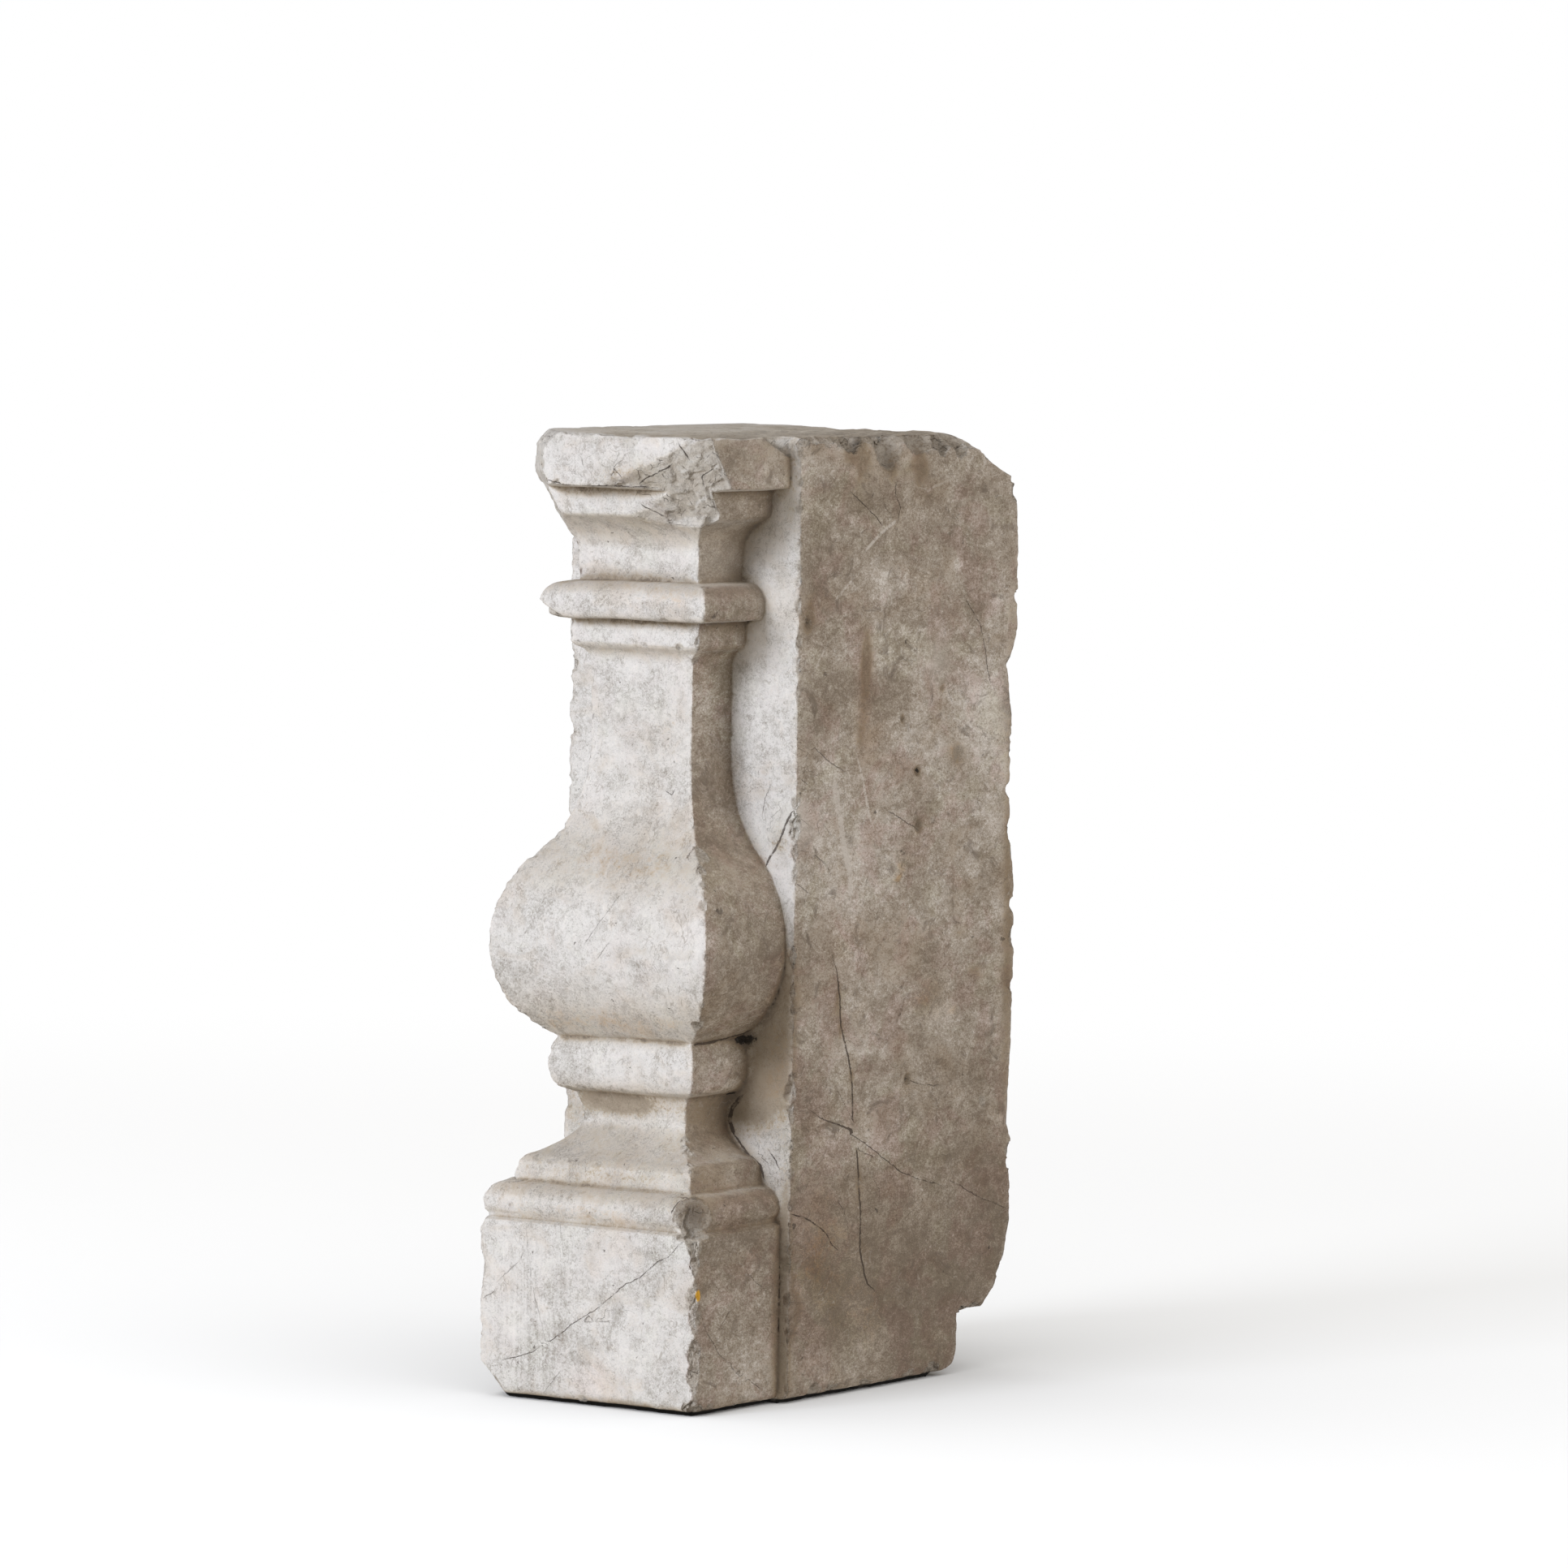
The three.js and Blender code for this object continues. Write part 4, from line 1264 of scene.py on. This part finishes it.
    # Relief: grain less the marks, deeper on fresh breaks and on the right side
    height = f.weighted((small, 0.5), (fine, 0.35), (middle, 0.5), (grit, 0.15))
    height = f.plus(height, f.times(tool_share, 0.4))
    for mark, depth in ((strokes, 0.14), (dots, 0.3), (crack, 0.5), (crevice, 0.8)):
        height = f.less(height, f.times(mark, depth))
    height = f.plus(height, f.times(f.noise(place, 2.4, 5, 0.8), f.times(fresh, 1.5)))
    height = f.times(height, f.math("MULTIPLY_ADD", side, 0.8, 1.0))
    bump = f.add("ShaderNodeBump", {"Strength": 0.85, "Distance": 0.0014, "Height": height})
    inputs = {"Base Color": colour, "Normal": bump.outputs["Normal"], "Specular IOR Level": 0.22}
    inputs["Roughness"] = f.ramp(fine, 0.2, 0.8, 0.82, 0.97)
    return f.finished(f.add("ShaderNodeBsdfPrincipled", inputs))


def stroke_marks(f, place, layers):
    """Short curved strokes: thin bands along the middle value of noises, kept to patches. Each layer has
    the noise's size in mm, the band's half width, the patches' size and the strength."""
    total = None
    for size, width, patch, weight in layers:
        band = f.noise(f.scaled(place, (1, 1, 0.7), (0.3, 0.5, size)), size, 2, 0.6, 0.9)
        gap = f.math("ABSOLUTE", f.less(band, 0.5))
        spread = f.noise(f.scaled(place, (1, 1, 1), (size, 0, 0.4)), patch, 4, 0.65)
        patches = f.ramp(spread, 0.53, 0.64, 0, weight)
        line = f.times(f.ramp(gap, width, width * 0.25), patches)
        total = line if total is None else f.math("MAXIMUM", total, line)
    return total


def dot_marks(f, place, spacing, share, reach):
    """Dots in random places: each cell has one point, and only the cells over the share are marked."""
    inputs = {"Vector": f.wandered(place, 2.5, 0.0014), "Scale": 1 / (spacing * MM)}
    cells = f.add("ShaderNodeTexVoronoi", inputs)
    chance = f.add("ShaderNodeSeparateColor", {"Color": cells.outputs["Color"]}).outputs["Red"]
    near = f.less(f.ramp(chance, share, 1.0, 0, reach), cells.outputs["Distance"])
    return f.ramp(near, 0.0, 0.05)


def make_stone(sizes, finish):
    """The finished stone, in the place of the plain one."""
    points, fresh = carved_stone(sizes)
    mesh = grid_mesh("stone", in_frame(points), {"fresh": fresh})
    piece = thinned(mesh, "carved_pilaster", sizes.triangles)
    mark_stone(piece.data, sizes)
    piece.data.materials.clear()
    piece.data.materials.append(limestone(finish))
    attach(piece, "root")
    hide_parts("stone_pilaster")
    return piece


# The camera, in metres and degrees, as it stood for the photograph
CAMERA_PLACE = Vector((3.730855, -5.388490, 0.881150))
CAMERA_AZIMUTH = 34.5
CAMERA_ELEVATION = 3.8385
CAMERA_ROLL = 0.8751
IMAGE_SIZE = 1932
FOCAL_PIXELS = 11000
SENSOR = 36.0

# The studio, in metres: the floor and where it turns white, the ball round it, and the lights' aim
FLOOR_HALF = 30
FLOOR_FADE = (1.2, 3.0)
BACKDROP_RADIUS = 40
LIGHTS_AIM = (0, 0, 0.35)
WHITE = (1, 1, 1)


def camera_axes():
    """Right, up and back of the camera, from its azimuth, its elevation and its roll."""
    azimuth, elevation, roll = (math.radians(a) for a in (CAMERA_AZIMUTH, CAMERA_ELEVATION, CAMERA_ROLL))
    flat = math.cos(elevation)
    back = Vector((math.sin(azimuth) * flat, -math.cos(azimuth) * flat, math.sin(elevation)))
    right = Vector((math.cos(azimuth), math.sin(azimuth), 0))
    up = back.cross(right)
    return (
        right * math.cos(roll) + up * math.sin(roll),
        up * math.cos(roll) - right * math.sin(roll),
        back,
    )


def make_camera():
    data = bpy.data.cameras.new("camera")
    data.sensor_width = SENSOR
    data.lens = FOCAL_PIXELS / IMAGE_SIZE * SENSOR
    data.clip_end = 100
    camera = placed("camera", data)
    turn = Matrix(camera_axes()).transposed().to_4x4()
    camera.matrix_world = Matrix.Translation(CAMERA_PLACE) @ turn
    bpy.context.scene.camera = camera


def area_light(name, place, size, power, colour):
    data = bpy.data.lights.new(name, "AREA")
    data.shape = "RECTANGLE"
    data.size, data.size_y = size
    data.energy = power
    data.color = colour
    light = placed(name, data)
    light.location = place
    light.rotation_euler = (Vector(place) - Vector(LIGHTS_AIM)).to_track_quat("Z", "Y").to_euler()
    return light


def unseen_by_light(piece):
    """The piece shows to the camera, and sends no light to the others."""
    piece.visible_diffuse = False
    piece.visible_glossy = False
    piece.visible_transmission = False


def make_floor(settings):
    """A wide floor that turns to plain white far from the stone."""
    half = FLOOR_HALF
    corners = [(-half, -half, 0), (half, -half, 0), (half, half, 0), (-half, half, 0)]
    floor = placed("floor", bpy.data.meshes.new("floor"))
    floor.data.from_pydata(corners, [], [(0, 1, 2, 3)])
    f = Finish("floor")
    place = f.add("ShaderNodeTexCoord").outputs["Object"]
    distance = f.add("ShaderNodeVectorMath", {0: place}, operation="LENGTH").outputs["Value"]
    near = f.add("ShaderNodeBsdfDiffuse", {"Color": rgba(settings.floor)})
    fade = f.ramp(distance, *FLOOR_FADE)
    mix = f.add("ShaderNodeMixShader", {0: fade, 1: near.outputs[0], 2: f.glow(WHITE).outputs[0]})
    floor.data.materials.append(f.finished(mix))
    unseen_by_light(floor)
    floor.visible_shadow = False
    return floor


def make_backdrop():
    """A white ball round the whole studio: radius times (cos u cos v, sin u cos v, sin v)."""
    u, v = np.meshgrid(np.linspace(0, 2 * math.pi, 33)[:-1], np.linspace(-math.pi / 2, math.pi / 2, 17))
    points = BACKDROP_RADIUS * np.stack((np.cos(u) * np.cos(v), np.sin(u) * np.cos(v), np.sin(v)), 2)
    backdrop = placed("backdrop", grid_mesh("backdrop", points, {}))
    f = Finish("backdrop")
    backdrop.data.materials.append(f.finished(f.glow(WHITE)))
    unseen_by_light(backdrop)
    backdrop.visible_shadow = False
    return backdrop


def link_floor(light, floor, state):
    """INCLUDE makes the light fall on the floor alone, and EXCLUDE on everything but the floor."""
    linked = bpy.data.collections.new(light.name + "_" + state.lower())
    linked.objects.link(floor)
    linked.collection_objects[0].light_linking.link_state = state
    light.light_linking.receiver_collection = linked


def light_floor(floor, strength):
    """A very wide light from overhead, a little from the left, that falls on the floor alone."""
    data = bpy.data.lights.new("overhead", "SUN")
    data.energy = strength
    data.angle = math.radians(130)
    light = placed("overhead", data)
    light.rotation_euler = Vector((0.2, -0.3, 1)).to_track_quat("Z", "Y").to_euler()
    link_floor(light, floor, "INCLUDE")


def make_studio(settings):
    floor, backdrop = make_floor(settings), make_backdrop()
    light_floor(floor, settings.overhead)
    area_light("key", (-0.67, -3.8, 2.1), (1.5, 1.5), settings.key, (0.96, 1, 1.08))
    side = area_light("side", (3.4, 0.6, 1.5), (2.6, 2.6), settings.side, (1, 0.94, 0.88))
    link_floor(side, floor, "EXCLUDE")
    area_light("fill", (-0.5, -2.4, -0.9), (2.6, 1.2), settings.fill, (1, 0.96, 0.9))
    world = bpy.data.worlds.new("studio")
    world.use_nodes = True
    background = world.node_tree.nodes["Background"]
    background.inputs["Color"].default_value = (1.0, 0.915, 0.82, 1)
    background.inputs["Strength"].default_value = settings.ambient
    bpy.context.scene.world = world
    bpy.context.scene.view_settings.view_transform = "Standard"
    make_camera()


class PILASTER_OT_stone(bpy.types.Operator):
    """Carve the stone and give it its finish."""

    bl_idname = "pilaster.stone"
    bl_label = "Carve the stone"

    def execute(self, context):
        make_stone(context.scene.pilaster_sizes, context.scene.pilaster_finish)
        return {"FINISHED"}


class PILASTER_OT_studio(bpy.types.Operator):
    """Set up the floor, the lights and the camera."""

    bl_idname = "pilaster.studio"
    bl_label = "Set up the studio"

    def execute(self, context):
        make_studio(context.scene.pilaster_studio)
        return {"FINISHED"}


class PILASTER_PT_panel(bpy.types.Panel):
    """Lists the operators and their settings."""

    bl_label = "Pilaster"
    bl_space_type = "VIEW_3D"
    bl_region_type = "UI"
    bl_category = "Pilaster"

    def draw(self, context):
        for group, operator in (
            (context.scene.pilaster_sizes, "pilaster.stone"),
            (context.scene.pilaster_finish, "pilaster.stone"),
            (context.scene.pilaster_studio, "pilaster.studio"),
        ):
            box = self.layout.box()
            for name in group.__annotations__:
                box.prop(group, name)
            box.operator(operator)


CLASSES = (
    PilasterSizes, StoneFinish, StudioSettings, PILASTER_OT_stone, PILASTER_OT_studio, PILASTER_PT_panel,
)


def register():
    for kind in CLASSES:
        bpy.utils.register_class(kind)
    bpy.types.Scene.pilaster_sizes = PointerProperty(type=PilasterSizes)
    bpy.types.Scene.pilaster_finish = PointerProperty(type=StoneFinish)
    bpy.types.Scene.pilaster_studio = PointerProperty(type=StudioSettings)


def unregister():
    for name in ("pilaster_sizes", "pilaster_finish", "pilaster_studio"):
        delattr(bpy.types.Scene, name)
    for kind in reversed(CLASSES):
        bpy.utils.unregister_class(kind)


def main():
    register()
    bpy.ops.pilaster.stone()
    bpy.ops.pilaster.studio()


if __name__ == "__main__":
    main()
